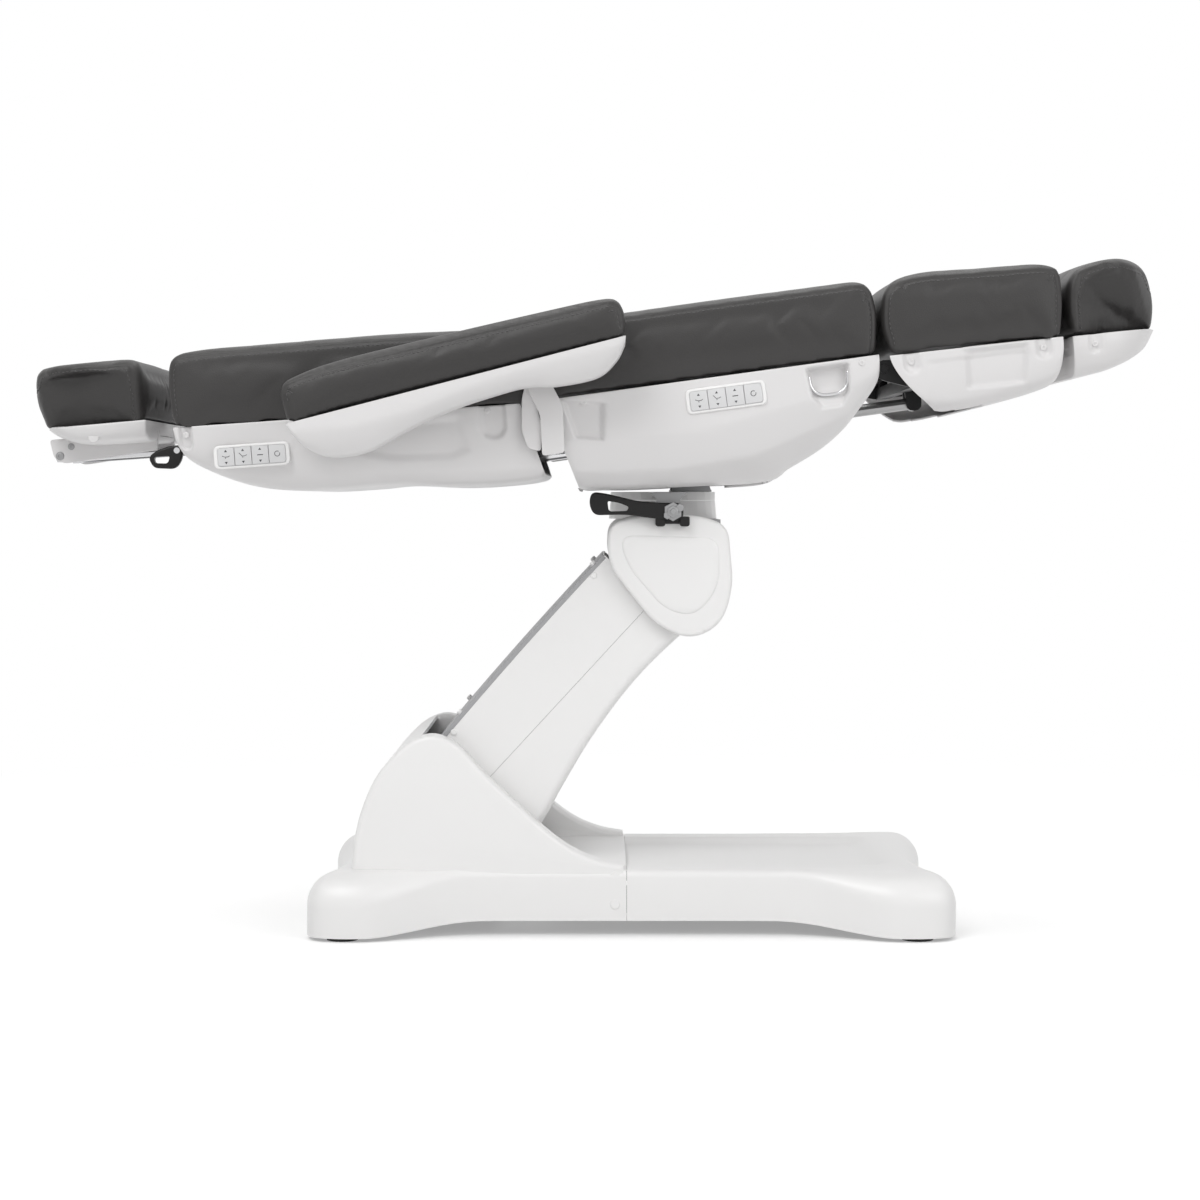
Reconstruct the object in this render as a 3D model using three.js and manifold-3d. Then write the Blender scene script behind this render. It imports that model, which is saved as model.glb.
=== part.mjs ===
// Electric spa treatment table: a five-section lying surface on a parallelogram lift arm.
// Millimetres. +X runs from the head end to the foot end, +Z is up, and the origin lies on the
// floor under the middle of the table.

import * as THREE from "three";
import { mergeVertices } from "three/addons/utils/BufferGeometryUtils.js";
import Module from "manifold-3d";

const wasm = await Module();
wasm.setup();

// Driving dimensions

const fit = { touch: 0.3, running: 1, loose: 3, overrun: 4, weld: 2 };
const wall = { shell: 4, cover: 4 };
const middle = 0.5;

const lift = { x: -258, z: 194, reach: 536, angle: 47.3, tieX: 51, tieZ: -48 };
const slope = { seat: 7.75, back: 4, leg: 6.3, head: 5, armrest: 14.5 };

// Places over the arm, measured from its upper pivot.
const upperPivot = toWorld(lift, lift.reach, 0);
const places = {
  seat: { x: -203.5, z: 268.7 }, back: { x: -203.5, z: 267.1 }, tilt: { x: 46.5, z: 167.1 },
  swivel: { x: 0.5, z: 114.1 }, seatTube: { x: -182, z: 224.1 }, backTube: { x: -211, z: 224.1 },
  lock: { x: 5.5, z: 108.1 },
};
const placeOf = ({ x, z }) => ({ x: upperPivot.x + x, z: upperPivot.z + z });

const seat = {
  ...placeOf(places.seat), length: 534, halfWidth: 308, thickness: 110, crown: 8, round: 34, corner: 24,
};
const shellStep = 3;
const seatShell = { halfWidth: seat.halfWidth - shellStep, depth: 172, lean: 0.75 };
const back = { z: placeOf(places.back).z, length: 576, depth: 123, thickness: 110, crown: 8, round: 30 };
const backHinge = { rise: 30, halfAngle: 36, endGap: 3 };
backHinge.z = back.z + backHinge.rise;
const seatFrame = { x: seat.x, z: seat.z, angle: slope.seat };
const backFrame = { x: seat.x, z: back.z, angle: slope.back };
const legHinge = { past: 16.2, z: -21 };
const legHingeAt = toWorld(seatFrame, seat.length + legHinge.past, legHinge.z);
const leg = { board: 17, start: 2, end: 277, depth: 99, thickness: 112, crown: 8, round: 36 };
const legShell = { lean: 1.6 };
const foot = {
  start: 294, end: 462, halfWidth: 277, corner: [96, 205], depth: 65, thickness: 90, crown: 9,
  round: 32,
};
const headPlace = { past: 28, z: 21.2 };
const headAt = toWorld(backFrame, -back.length - headPlace.past, headPlace.z);
const head = {
  endGap: 27, length: 219, halfWidth: 190, corner: [96, 120], depth: 38, thickness: 88, crown: 7,
  round: 26,
};
const armrestPlace = { fromHead: 194.3, z: -11.4, pivotFromHead: 271.1, pivotZ: -30.8, gap: 22, pinReach: 22 };
const armrest = {
  ...toWorld(backFrame, armrestPlace.fromHead - back.length, armrestPlace.z), length: 536, width: 100,
  inner: seat.halfWidth + armrestPlace.gap, depth: 70, thickness: 62, crown: 4, round: 18,
};

const swivel = {
  x: placeOf(places.swivel).x, plateLow: placeOf(places.swivel).z, radius: 88, thickness: 14, flare: 3,
};
swivel.plateHigh = swivel.plateLow + swivel.thickness;
const tilt = placeOf(places.tilt);

// Colours and finishes

const steelBlack = new THREE.MeshStandardMaterial({ color: 0x1d1d1f, roughness: 0.5, metalness: 0.4 });
const steelBright = new THREE.MeshStandardMaterial({ color: 0xb9bbbd, roughness: 0.3, metalness: 0.9 });
const steelGrey = new THREE.MeshStandardMaterial({ color: 0x8a8a8a, roughness: 0.45, metalness: 0.6 });
const whiteShell = new THREE.MeshStandardMaterial({ color: 0xf1f1f1, roughness: 0.35, metalness: 0 });
const vinyl = new THREE.MeshStandardMaterial({ color: 0x474646, roughness: 0.55, metalness: 0 });
const blackPlastic = new THREE.MeshStandardMaterial({ color: 0x201e1e, roughness: 0.45, metalness: 0 });
const keyPlastic = new THREE.MeshStandardMaterial({ color: 0xe4e4e4, roughness: 0.4, metalness: 0 });

// Solids from geometries

function solidOf(geometry) {
  const bare = geometry.index ? geometry.toNonIndexed() : geometry.clone();
  bare.deleteAttribute("normal");
  bare.deleteAttribute("uv");
  const merged = mergeVertices(bare);
  const faces = [];
  const index = merged.index.array;
  for (let i = 0; i < index.length; i += 3) {
    const [a, b, c] = [index[i], index[i + 1], index[i + 2]];
    if (a !== b && b !== c && c !== a) faces.push(a, b, c);
  }
  const vertProperties = new Float32Array(merged.attributes.position.array);
  return new wasm.Manifold(new wasm.Mesh({ numProp: 3, vertProperties, triVerts: new Uint32Array(faces) }));
}

const join = (...parts) => parts.reduce((whole, part) => whole.add(part));
const cut = (whole, ...tools) => tools.reduce((rest, tool) => rest.subtract(tool), whole);

function meshOf(name, solid, material) {
  const data = solid.getMesh();
  const geometry = new THREE.BufferGeometry();
  geometry.setAttribute("position", new THREE.BufferAttribute(new Float32Array(data.vertProperties), 3));
  geometry.setIndex(new THREE.BufferAttribute(new Uint32Array(data.triVerts), 1));
  geometry.computeVertexNormals();
  const mesh = new THREE.Mesh(geometry, material);
  mesh.name = name;
  return mesh;
}

// A group whose own x axis climbs at an angle towards the foot end.
function frameAt(x, z, degrees, ...children) {
  const group = new THREE.Group();
  group.position.set(x, 0, z);
  group.rotation.y = -THREE.MathUtils.degToRad(degrees);
  if (children.length) group.add(...children);
  return group;
}

// The same turn for a point: the world place of a local point, and back.
function toWorld(frame, x, z) {
  const a = THREE.MathUtils.degToRad(frame.angle);
  return { x: frame.x + x * Math.cos(a) - z * Math.sin(a), z: frame.z + x * Math.sin(a) + z * Math.cos(a) };
}

function toLocal(frame, x, z) {
  const a = THREE.MathUtils.degToRad(frame.angle);
  const dx = x - frame.x;
  const dz = z - frame.z;
  return { x: dx * Math.cos(a) + dz * Math.sin(a), z: -dx * Math.sin(a) + dz * Math.cos(a) };
}

// Simple shapes

function block(x0, x1, y0, y1, z0, z1) {
  const box = new THREE.BoxGeometry(x1 - x0, y1 - y0, z1 - z0);
  return solidOf(box.translate((x0 + x1) * middle, (y0 + y1) * middle, (z0 + z1) * middle));
}

function barY(x, z, radius, y0, y1, sides = 16) {
  const bar = new THREE.CylinderGeometry(radius, radius, y1 - y0, sides);
  return solidOf(bar.translate(x, (y0 + y1) * middle, z));
}

function barX(y, z, radius, x0, x1, sides = 16) {
  const bar = new THREE.CylinderGeometry(radius, radius, x1 - x0, sides).rotateZ(-Math.PI * middle);
  return solidOf(bar.translate((x0 + x1) * middle, y, z));
}

function barZ(x, y, radius, z0, z1, sides = 16, radiusTop = radius) {
  const bar = new THREE.CylinderGeometry(radiusTop, radius, z1 - z0, sides).rotateX(Math.PI * middle);
  return solidOf(bar.translate(x, y, (z0 + z1) * middle));
}

// A bar along y on one side of the table.
function sideBar(at, radius, side, inner, outer, sides = 12) {
  const [y0, y1] = [side * inner, side * outer].sort((a, b) => a - b);
  return barY(at.x, at.z, radius, y0, y1, sides);
}

// A pin along y, and the bore it runs in.
const pinAt = (at, { radius, sides }, y0, y1) => barY(at.x, at.z, radius, y0, y1, sides);
const boreAt = (at, { radius, sides }, y0, y1) => barY(at.x, at.z, radius + fit.touch, y0, y1, sides);

// An outline of corners [x, z, radius], each corner drawn as a curve of that radius.
function outline(corners, steps = 3) {
  const points = [];
  const count = corners.length;
  corners.forEach(([x, z, radius = 0], i) => {
    const corner = new THREE.Vector2(x, z);
    const before = new THREE.Vector2(...corners[(i + count - 1) % count].slice(0, 2)).sub(corner);
    const after = new THREE.Vector2(...corners[(i + 1) % count].slice(0, 2)).sub(corner);
    const run = Math.min(radius, before.length() * middle, after.length() * middle);
    const from = corner.clone().addScaledVector(before.normalize(), run);
    const to = corner.clone().addScaledVector(after.normalize(), run);
    if (run > 0) points.push(...new THREE.QuadraticBezierCurve(from, corner, to).getPoints(steps));
    else points.push(corner);
  });
  const path = apart(points);
  return new THREE.Shape(THREE.ShapeUtils.isClockWise(path) ? path.reverse() : path);
}

// Corners given as shares of a length and a height from one place.
function cornersOf(shares, { x, z, length, height }) {
  return shares.map(([along, up, radius]) => [x + along * length, z + up * height, radius * height]);
}

// The points of a closed outline without the ones that lie on the one before or on a straight run.
function apart(points) {
  const neighbour = (list, i, step) => list[(i + list.length + step) % list.length];
  const spaced = points.filter((p, i) => p.distanceTo(neighbour(points, i, -1)) > fit.touch);
  return spaced.filter((p, i) => {
    const into = p.clone().sub(neighbour(spaced, i, -1));
    const out = neighbour(spaced, i, 1).clone().sub(p);
    return Math.abs(into.normalize().cross(out.normalize())) > leastBend;
  });
}

const leastBend = 0.001;

// A side outline (x, z) carried across from y0 to y1.
function plate(shape, y0, y1, curveSegments = 4) {
  const solid = new THREE.ExtrudeGeometry(shape, { depth: y1 - y0, bevelEnabled: false, curveSegments });
  return solidOf(solid.rotateX(Math.PI * middle).translate(0, y1, 0));
}

// A closed path moved square to itself, inwards for a path that runs anticlockwise.
function drawnIn(path, inset) {
  const count = path.length;
  return path.map((p, i) => {
    const into = p.clone().sub(path[(i + count - 1) % count]).normalize();
    const out = path[(i + 1) % count].clone().sub(p).normalize();
    const square = new THREE.Vector2(-into.y - out.y, into.x + out.x).normalize();
    const stretch = 1 / Math.max(square.dot(new THREE.Vector2(-out.y, out.x)), middle);
    return p.clone().addScaledVector(square, inset * stretch);
  });
}

// A side outline carried across from y0 to y1 with the edges of both faces eased.
function easedPlate(shape, y0, y1, ease, curveSegments = 4) {
  const drawn = apart(shape.extractPoints(curveSegments).shape);
  const path = THREE.ShapeUtils.isClockWise(drawn) ? drawn.reverse() : drawn;
  const layers = [[1, 0], [0, 1]];
  const levels = [
    ...layers.map(([inset, rise]) => [inset * ease, y0 + rise * ease]),
    ...layers.reverse().map(([inset, rise]) => [inset * ease, y1 - rise * ease]),
  ];
  const rings = levels.map(([inset, y]) => drawnIn(path, inset).map((p) => [p.x, y, p.y]));
  return loft(rings, facesOf(path));
}

// The triangles that fill a path, turned the way the path runs.
function facesOf(path) {
  const faces = THREE.ShapeUtils.triangulateShape(path, []);
  const whole = faces.reduce((sum, face) => sum + THREE.ShapeUtils.area(face.map((i) => path[i])), 0);
  return whole < 0 ? faces.map((face) => face.reverse()) : faces;
}

// A round wire bent along a curve.
function wireAlong(curve, radius, steps) {
  const section = new THREE.Shape().absarc(0, 0, radius, 0, Math.PI * 2, false);
  return solidOf(
    new THREE.ExtrudeGeometry(
      section, { steps, extrudePath: curve, curveSegments: 4, bevelEnabled: false },
    ),
  );
}

// Both sides of the table: a part made for +Y and its mirror for -Y.
function bothSides(make) {
  return join(make(1), make(-1));
}

function sidePlate(shape, side, inner, outer, curveSegments) {
  return side > 0 ? plate(shape, inner, outer, curveSegments) : plate(shape, -outer, -inner, curveSegments);
}

// A skin over closed rings of equally many points, its ends closed by a fan or by given faces.
function loft(rings, ends) {
  const count = rings[0].length;
  const positions = rings.flat(2);
  const centre = (ring) => [0, 1, 2].map((axis) => ring.reduce((sum, p) => sum + p[axis], 0) / count);
  if (!ends) positions.push(...centre(rings[0]), ...centre(rings.at(-1)));
  const first = rings.length * count;
  const last = (rings.length - 1) * count;
  const index = [];
  for (let r = 0; r + 1 < rings.length; r += 1) {
    for (let i = 0; i < count; i += 1) {
      const j = (i + 1) % count;
      const [a, b, c, d] = [r * count + i, r * count + j, (r + 1) * count + i, (r + 1) * count + j];
      index.push(a, b, c, b, d, c);
    }
  }
  for (let i = 0; i < count && !ends; i += 1) {
    const j = (i + 1) % count;
    index.push(first, j, i, first + 1, last + i, last + j);
  }
  (ends ?? []).forEach(([a, b, c]) => index.push(c, b, a, last + a, last + b, last + c));
  const turned = signedVolume(positions, index) < 0 ? index.reverse() : index;
  const vertProperties = new Float32Array(positions);
  return new wasm.Manifold(
    new wasm.Mesh({ numProp: 3, vertProperties, triVerts: new Uint32Array(turned) }),
  );
}

function signedVolume(positions, index) {
  const point = (i) => new THREE.Vector3(...positions.slice(3 * i, 3 * i + 3));
  let volume = 0;
  for (let i = 0; i < index.length; i += 3) {
    const [a, b, c] = [point(index[i]), point(index[i + 1]), point(index[i + 2])];
    volume += a.dot(b.cross(c));
  }
  return volume;
}

// Points along a smooth curve through a table of rows, every column eased alike.
function easedRows(rows, steps) {
  const result = [];
  for (let s = 0; s <= steps; s += 1) {
    const at = (s / steps) * (rows.length - 1);
    const i = Math.min(Math.floor(at), rows.length - 2);
    const t = at - i;
    const row = (k) => rows[Math.max(0, Math.min(rows.length - 1, k))];
    const [a, b, c, d] = [row(i - 1), row(i), row(i + 1), row(i + 2)];
    const spline = (_, n) => {
      const [m0, m1] = [(c[n] - a[n]) * middle, (d[n] - b[n]) * middle];
      const t2 = t * t;
      const t3 = t2 * t;
      return (2 * t3 - 3 * t2 + 1) * b[n] + (t3 - 2 * t2 + t) * m0 + (3 * t2 - 2 * t3) * c[n] + (t3 - t2) * m1;
    };
    result.push(b.map(spline));
  }
  return result;
}

// Soft forms

// How a cushion's side draws in and swells: [share of the edge rounding, share of the thickness].
const cushionSideShares = [[0.16, 0], [-0.04, 0.18], [-0.08, 0.55]];
const cushionEdgeShares = [[0.1, 0.5], [0.42, 0.14], [1, 0]];
const cushionCrownShares = [[0.3, 0.5], [0.62, 0.88]];

// The plan of a cushion: corners as quarter ellipses, sides drawn in between them.
function cushionRing({ x0, x1, halfWidth, cornerHead, cornerFoot, pinch, z }) {
  const arcSteps = 3;
  const sideSteps = 4;
  const points = [];
  const corners = [
    [x1, 1, cornerFoot, 0], [x0, 1, cornerHead, 1], [x0, -1, cornerHead, 2], [x1, -1, cornerFoot, 3],
  ];
  corners.forEach(([x, sideY, [rx, ry], quarter]) => {
    const inward = x === x1 ? -1 : 1;
    const centre = [x + inward * rx, sideY * (halfWidth - ry)];
    for (let k = 0; k <= arcSteps; k += 1) {
      const turn = (quarter + k / arcSteps) * Math.PI * middle;
      points.push([centre[0] + rx * Math.cos(turn), centre[1] + ry * Math.sin(turn), z]);
    }
    const run = quarter % 2 === 0 ? [x0 + cornerHead[0], x1 - cornerFoot[0]] : [0, 0];
    for (let k = 1; k < sideSteps && quarter % 2 === 0; k += 1) {
      const t = quarter === 0 ? 1 - k / sideSteps : k / sideSteps;
      const drawn = pinch * Math.sin(Math.PI * t);
      points.push([run[0] + (run[1] - run[0]) * t, sideY * (halfWidth - drawn), z]);
    }
  });
  return points;
}

function cushion(
  { x0, x1, halfWidth, thickness, crown, round, cornerHead, cornerFoot, leanHead, leanFoot, lift: z0 },
) {
  const pinch = round * cushionPinchShare;
  const narrow = ([rx, ry], inset) => [
    Math.max(rx - inset, round * leastCornerShare), Math.max(ry - inset, round * leastCornerShare),
  ];
  const ring = (inset, z, far = 0) => {
    const head = x0 + inset + (leanHead ? leanHead(z) : 0);
    const footX = x1 - inset - (leanFoot ? leanFoot(z) : 0);
    return cushionRing({
      x0: head, x1: footX, halfWidth: halfWidth - inset, pinch: pinch * (1 - far), z: z0 + z,
      cornerHead: narrow(cornerHead, inset), cornerFoot: narrow(cornerFoot, inset),
    });
  };
  const sides = cushionSideShares.map(([share, height]) => ring(share * round, height * thickness));
  const edges = cushionEdgeShares.map(([share, drop]) => ring(share * round, thickness - drop * round));
  const reach = Math.min(halfWidth, (x1 - x0) * middle) - round;
  const dome = cushionCrownShares.map(
    ([share, rise]) => ring(round + share * reach, thickness + rise * crown, 1),
  );
  return loft([...sides, ...edges, ...dome]);
}

const cushionPinchShare = 0.12;
const leastCornerShare = 0.25;

// Moulded shells

// The cross-section of a shell from rim to keel: [share of the half width, share of the depth].
const tubSectionShares = [
  [1, 0], [0.995, 0.3], [0.982, 0.6], [0.95, 0.8], [0.87, 0.94], [0.7, 1], [0.35, 1],
];

// Each row of a shell: [x at the rim, x at the keel, depth, half width]. Rings lean from rim to keel.
function tubBody({ rows, rim, steps, sectionShares = tubSectionShares, centreY = 0, lean = 1 }) {
  const side = sectionShares;
  const ringShares = [
    ...side.map(([y, z]) => [-y, z]), ...side.slice().reverse().map(([y, z]) => [y, z]),
  ];
  return loft(easedRows(rows, steps).map(([rimX, keelX, depth, halfWidth]) => ringShares.map(([y, z]) => [
    rimX + (keelX - rimX) * z ** lean, centreY + halfWidth * y, rim - Math.max(depth, fit.touch) * z,
  ])));
}

// The rows of a shell from shares of its run, depth and half width.
function rowsOf(shares, start, end, depth, halfWidth) {
  const at = (share) => start + share * (end - start);
  return shares.map(([rim, keel, deep, wide]) => [at(rim), at(keel), deep * depth, wide * halfWidth]);
}

// A shell is its body less the same body drawn in by the wall. An open end is cut right through.
function tub(
  { rows, rim, steps, thickness, openHead = false, openFoot = false, sectionShares, centreY = 0, lean = 1 },
) {
  const outer = tubBody({ rows, rim, steps, sectionShares, centreY, lean });
  const xs = rows.flatMap(([rimX, keelX]) => [rimX, keelX]);
  const [low, high] = [Math.min(...xs), Math.max(...xs)];
  const from = openHead ? low - fit.overrun : low + thickness;
  const to = openFoot ? high + fit.overrun : high - thickness;
  const drawX = (x) => from + ((x - low) / (high - low)) * (to - from);
  const inner = rows.map(([rimX, keelX, depth, halfWidth]) => {
    const hollow = Math.max(depth - thickness, fit.running);
    return [drawX(rimX), drawX(keelX), hollow + fit.overrun, halfWidth - thickness];
  });
  const hollow = tubBody({ rows: inner, rim: rim + fit.overrun, steps, sectionShares, centreY, lean });
  return outer.subtract(hollow);
}

// World places that several sections share

const lowerTie = { x: lift.x + lift.tieX, z: lift.z + lift.tieZ };
const upperTie = { x: upperPivot.x + lift.tieX, z: upperPivot.z + lift.tieZ };
const legFrame = { ...legHingeAt, angle: slope.leg };
const headFrame = { ...headAt, angle: slope.head };
const armrestFrame = { x: armrest.x, z: armrest.z, angle: slope.armrest };
const hingeInSeat = toLocal(seatFrame, seat.x, backHinge.z);
const hingeInBack = toLocal(backFrame, seat.x, backHinge.z);
const legHingeInSeat = toLocal(seatFrame, legHingeAt.x, legHingeAt.z);

// Base

const base = {
  headEnd: -470, footEnd: 571, seam: 43, waist: 218, lobe: 277, top: 108, chamferRun: 16, chamferDrop: 15,
  waistClear: 25, lobeClear: 6, channelDepth: 10, channelHalf: 165, channelSlope: 26, endDip: 34,
};
const pads = { inset: 58, footInset: 63, side: 35, radius: 26, thickness: 9, stem: 7, stemTop: 50 };
pads.headX = base.headEnd + pads.inset;
pads.footX = base.footEnd - pads.footInset;
pads.y = base.lobe - pads.side;
const rail = { y: 168, halfWidth: 18, low: 32, high: 72, headEnd: pads.headX, footEnd: pads.footX };
const housing = { inner: 174, sink: 2, ease: 12, wall: 5, wellFoot: -40 };
housing.outer = base.waist - housing.sink;
const pillar = { inner: 163, outer: 171, radius: 30, spread: 90 };
const pins = {
  main: { radius: 14, sides: 16 }, tie: { radius: 10, sides: 16 }, small: { radius: 7, sides: 12 },
};

// The plan of one half of the base cover, from the seam to its end: [share of length, share of lobe].
const basePlanShares = [
  [0, 0.787], [0.2, 0.787], [0.4, 0.79], [0.56, 0.82], [0.68, 0.9], [0.79, 0.985], [0.88, 1],
  [0.96, 0.965], [0.995, 0.88], [0.998, 0.78], [0.972, 0.6], [0.945, 0.3], [0.935, 0],
];

// A half of the base cover as rings from its lower edge up over the chamfer to the top.
function baseHalf(end, inset, channel) {
  const length = end - base.seam;
  const sign = Math.sign(length);
  const half = easedRows(basePlanShares, 16).map(([x, y]) => [x, y]);
  const plan = [...half, ...half.slice(0, -1).reverse().map(([x, y]) => [x, -y])];
  const points = plan.map(([x, y]) => new THREE.Vector2(base.seam + x * length, y * base.lobe));
  const pastSeam = inset ? -sign * fit.overrun : 0;
  const normals = points.map((_, i) => {
    const before = points[Math.max(0, i - 1)];
    const after = points[Math.min(points.length - 1, i + 1)];
    const along = after.clone().sub(before).normalize();
    return new THREE.Vector2(along.y, -along.x).multiplyScalar(sign);
  });
  normals[0].set(0, -1);
  normals[points.length - 1].set(0, 1);
  const clearance = (x) => {
    const t = THREE.MathUtils.smoothstep(Math.abs(x - base.seam) / Math.abs(length), ...baseLobeShares);
    return base.waistClear + (base.lobeClear - base.waistClear) * t;
  };
  const ring = (inward, height, flat) => points.map((p, i) => {
    const q = p.clone().addScaledVector(normals[i], inward + inset);
    if (i === 0 || i === points.length - 1) q.x += pastSeam;
    const low = clearance(p.x);
    const z = height === null ? flat : low + (base.top - low) * height;
    return [q.x, q.y, z - (height === null ? 0 : inset)];
  });
  const low = inset ? -fit.overrun / (base.top - base.waistClear) : 0;
  const { chamferRun, chamferDrop } = base;
  const rings = [
    ring(0, low),
    ring(-fit.running, middle),
    ...chamferShares.map(([run, drop]) => ring(chamferRun * run, 1 - chamferDrop * drop / base.top)),
    ring(chamferRun, null, base.top - inset - fit.running),
    ring(chamferRun * baseBrimShare, null, base.top - inset),
  ];
  const body = loft(rings);
  if (!channel) return body;
  const channelTool = (grow) => {
    const [deep, wide] = [base.channelDepth, base.channelHalf];
    const shape = outline([
      [-wide, base.top + fit.overrun], [-wide, base.top], [
        -wide + base.channelSlope, base.top - deep - grow,
      ],
      [wide - base.channelSlope, base.top - deep - grow], [wide, base.top], [wide, base.top + fit.overrun],
    ]);
    const depth = Math.abs(length) * baseChannelShare;
    const run = new THREE.ExtrudeGeometry(shape, { depth, bevelEnabled: false });
    const tool = run.rotateX(Math.PI * middle).rotateZ(Math.PI * middle);
    return solidOf(tool.translate(base.seam - fit.overrun, 0, 0));
  };
  return body.subtract(channelTool(inset));
}

const baseChannelShare = 0.8;
const baseBrimShare = 1.8;
const baseLobeShares = [0.45, 0.82];

// The chamfer between the wall and the top: [share of its run, share of its drop].
const chamferShares = [[0.06, 1.4], [0.35, 0.5]];

// The cheek in shares: x from the pivot in shares of the reach to the seam, z in shares of its height.
const cheek = { reach: 143, height: 325, sink: 4, root: 70 };
cheek.headX = lift.x - cheek.reach;
cheek.foot = base.top - cheek.sink;
const cheekShares = [
  [0, 0], [0.012, 0.25], [0.04, 0.47], [0.09, 0.69], [0.16, 0.86], [0.22, 0.955], [0.285, 1],
  [0.345, 0.975], [0.4, 0.9], [0.5, 0.685], [0.69, 0.335], [0.8, 0.17], [0.9, 0.085], [0.99, 0.05], [
    1.045, 0.035,
  ],
];

function cheekOutline(inset, low) {
  const width = base.seam - cheek.headX;
  const rise = cheek.height - cheek.foot;
  const points = cheekShares.map(
    ([x, z]) => new THREE.Vector2(cheek.headX + x * width, cheek.foot + z * rise),
  );
  const drawn = points.map((p, i) => {
    const before = points[Math.max(0, i - 1)];
    const after = points[Math.min(points.length - 1, i + 1)];
    const along = after.clone().sub(before).normalize();
    return p.clone().add(new THREE.Vector2(along.y, -along.x).multiplyScalar(inset));
  });
  const shape = new THREE.Shape();
  shape.moveTo(drawn[0].x, low);
  shape.splineThru(drawn);
  shape.lineTo(drawn.at(-1).x, low);
  shape.closePath();
  return shape;
}

function baseCoverHead() {
  const skin = baseHalf(base.headEnd, 0, false);
  const hollow = baseHalf(base.headEnd, wall.cover, false);
  const cheeks = easedPlate(cheekOutline(0, cheek.root), -housing.outer, housing.outer, housing.ease, 2);
  const pocketOuter = housing.outer - wall.cover;
  const pocketInner = housing.inner + wall.cover;
  const pockets = easedPlate(cheekOutline(housing.wall, 0), -pocketOuter, pocketOuter, housing.ease, 2).subtract(
    block(base.headEnd, base.footEnd, -pocketInner, pocketInner, -fit.overrun, cheek.height),
  );
  const throat = plate(cheekOutline(housing.wall, cheek.root), -housing.inner, housing.inner, 2).intersect(
    block(cheek.headX, base.seam + fit.overrun, -base.lobe, base.lobe, base.top, cheek.height),
  );
  const opening = plate(outline([
    [lift.x - throatOpening.back, base.top], [lift.x - throatOpening.back, cheek.height + fit.overrun],
    [base.seam, cheek.height + fit.overrun], [base.seam, base.top],
  ]), -housing.inner, housing.inner);
  const well = block(
    cheek.headX + housing.wall + fit.overrun, housing.wellFoot, -housing.inner, housing.inner,
    cheek.root - fit.overrun, base.top + fit.overrun,
  );
  const shell = cut(join(skin, cheeks), hollow, throat, opening, well, pockets);
  const inletHole = block(
    base.headEnd, base.headEnd + base.endDip * 2, -inlet.halfWidth - fit.touch, inlet.halfWidth + fit.touch,
    inlet.low - fit.touch, inlet.high + fit.touch,
  );
  const seamCut = block(
    base.seam - fit.touch, base.footEnd, -base.lobe, base.lobe, 0, cheek.height,
  );
  return cut(shell, inletHole, seamCut);
}

const throatOpening = { back: 30 };
const inlet = { halfWidth: 24, low: 38, high: 64, inset: 26, depth: 40 };
inlet.face = base.headEnd + inlet.inset;

function baseCoverFoot() {
  return baseHalf(base.footEnd, 0, true).subtract(baseHalf(base.footEnd, wall.cover, true));
}

function baseFrameSolid() {
  const { low, high, y, halfWidth, headEnd, footEnd } = rail;
  const rails = bothSides((side) => block(
    headEnd, footEnd, side * y - halfWidth, side * y + halfWidth, low, high,
  ));
  const crossAt = (x, reach) => block(x - halfWidth, x + halfWidth, -reach, reach, low, high);
  const padReach = pads.y + halfWidth * middle;
  const crosses = [
    crossAt(pads.headX, padReach), crossAt(pads.footX, padReach), crossAt(actuatorFoot.x, y),
    crossAt(control.x0 - fit.touch - halfWidth, y),
  ];
  const pillars = bothSides((side) => sidePlate(outline([
    [lift.x - pillar.spread, low, 0], [lift.x - pillar.radius, lift.z + pillar.radius, pillar.radius],
    [lift.x + pillar.radius, lift.z + pillar.radius, pillar.radius],
    [lowerTie.x + pillar.radius, lowerTie.z + pillar.radius, pillar.radius],
    [lowerTie.x + pillar.radius * 2, low, 0],
  ]), side, pillar.inner, pillar.outer));
  const lugs = bothSides((side) => sidePlate(outline([
    [actuatorFoot.x - actuatorLug.radius, low, 0],
    [actuatorFoot.x - actuatorLug.radius, actuatorFoot.z + actuatorLug.radius, actuatorLug.radius],
    [actuatorFoot.x + actuatorLug.radius, actuatorFoot.z + actuatorLug.radius, actuatorLug.radius],
    [actuatorFoot.x + actuatorLug.radius, low, 0],
  ]), side, actuatorLug.inner, actuatorLug.outer));
  const inletGap = block(
    inlet.face - fit.touch, inlet.face + inlet.depth + fit.touch, -inlet.halfWidth - fit.touch,
    inlet.halfWidth + fit.touch, inlet.low - fit.touch, inlet.high + fit.touch,
  );
  return cut(
    join(rails, ...crosses, pillars, lugs), inletGap,
    boreAt(lift, pins.main, -pillar.outer - fit.weld, pillar.outer + fit.weld),
    boreAt(lowerTie, pins.tie, -pillar.outer - fit.weld, pillar.outer + fit.weld),
    barY(actuatorFoot.x, actuatorFoot.z, actuatorLug.bore, -actuatorLug.outer, actuatorLug.outer, 16),
    ...padPlaces().map(([x, py]) => barZ(x, py, pads.stem + fit.touch, 0, pads.stemTop + fit.running, 12)),
  );
}

const padPlaces = () => [pads.headX, pads.footX].flatMap((x) => [[x, pads.y], [x, -pads.y]]);
const actuatorFoot = { x: -170, z: 128 };
const actuatorLug = { radius: 21, bore: 14, inner: 16, outer: 22 };
const control = { x0: 110, length: 220, halfWidth: 90, low: 46, high: 88, plug: 10 };

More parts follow.
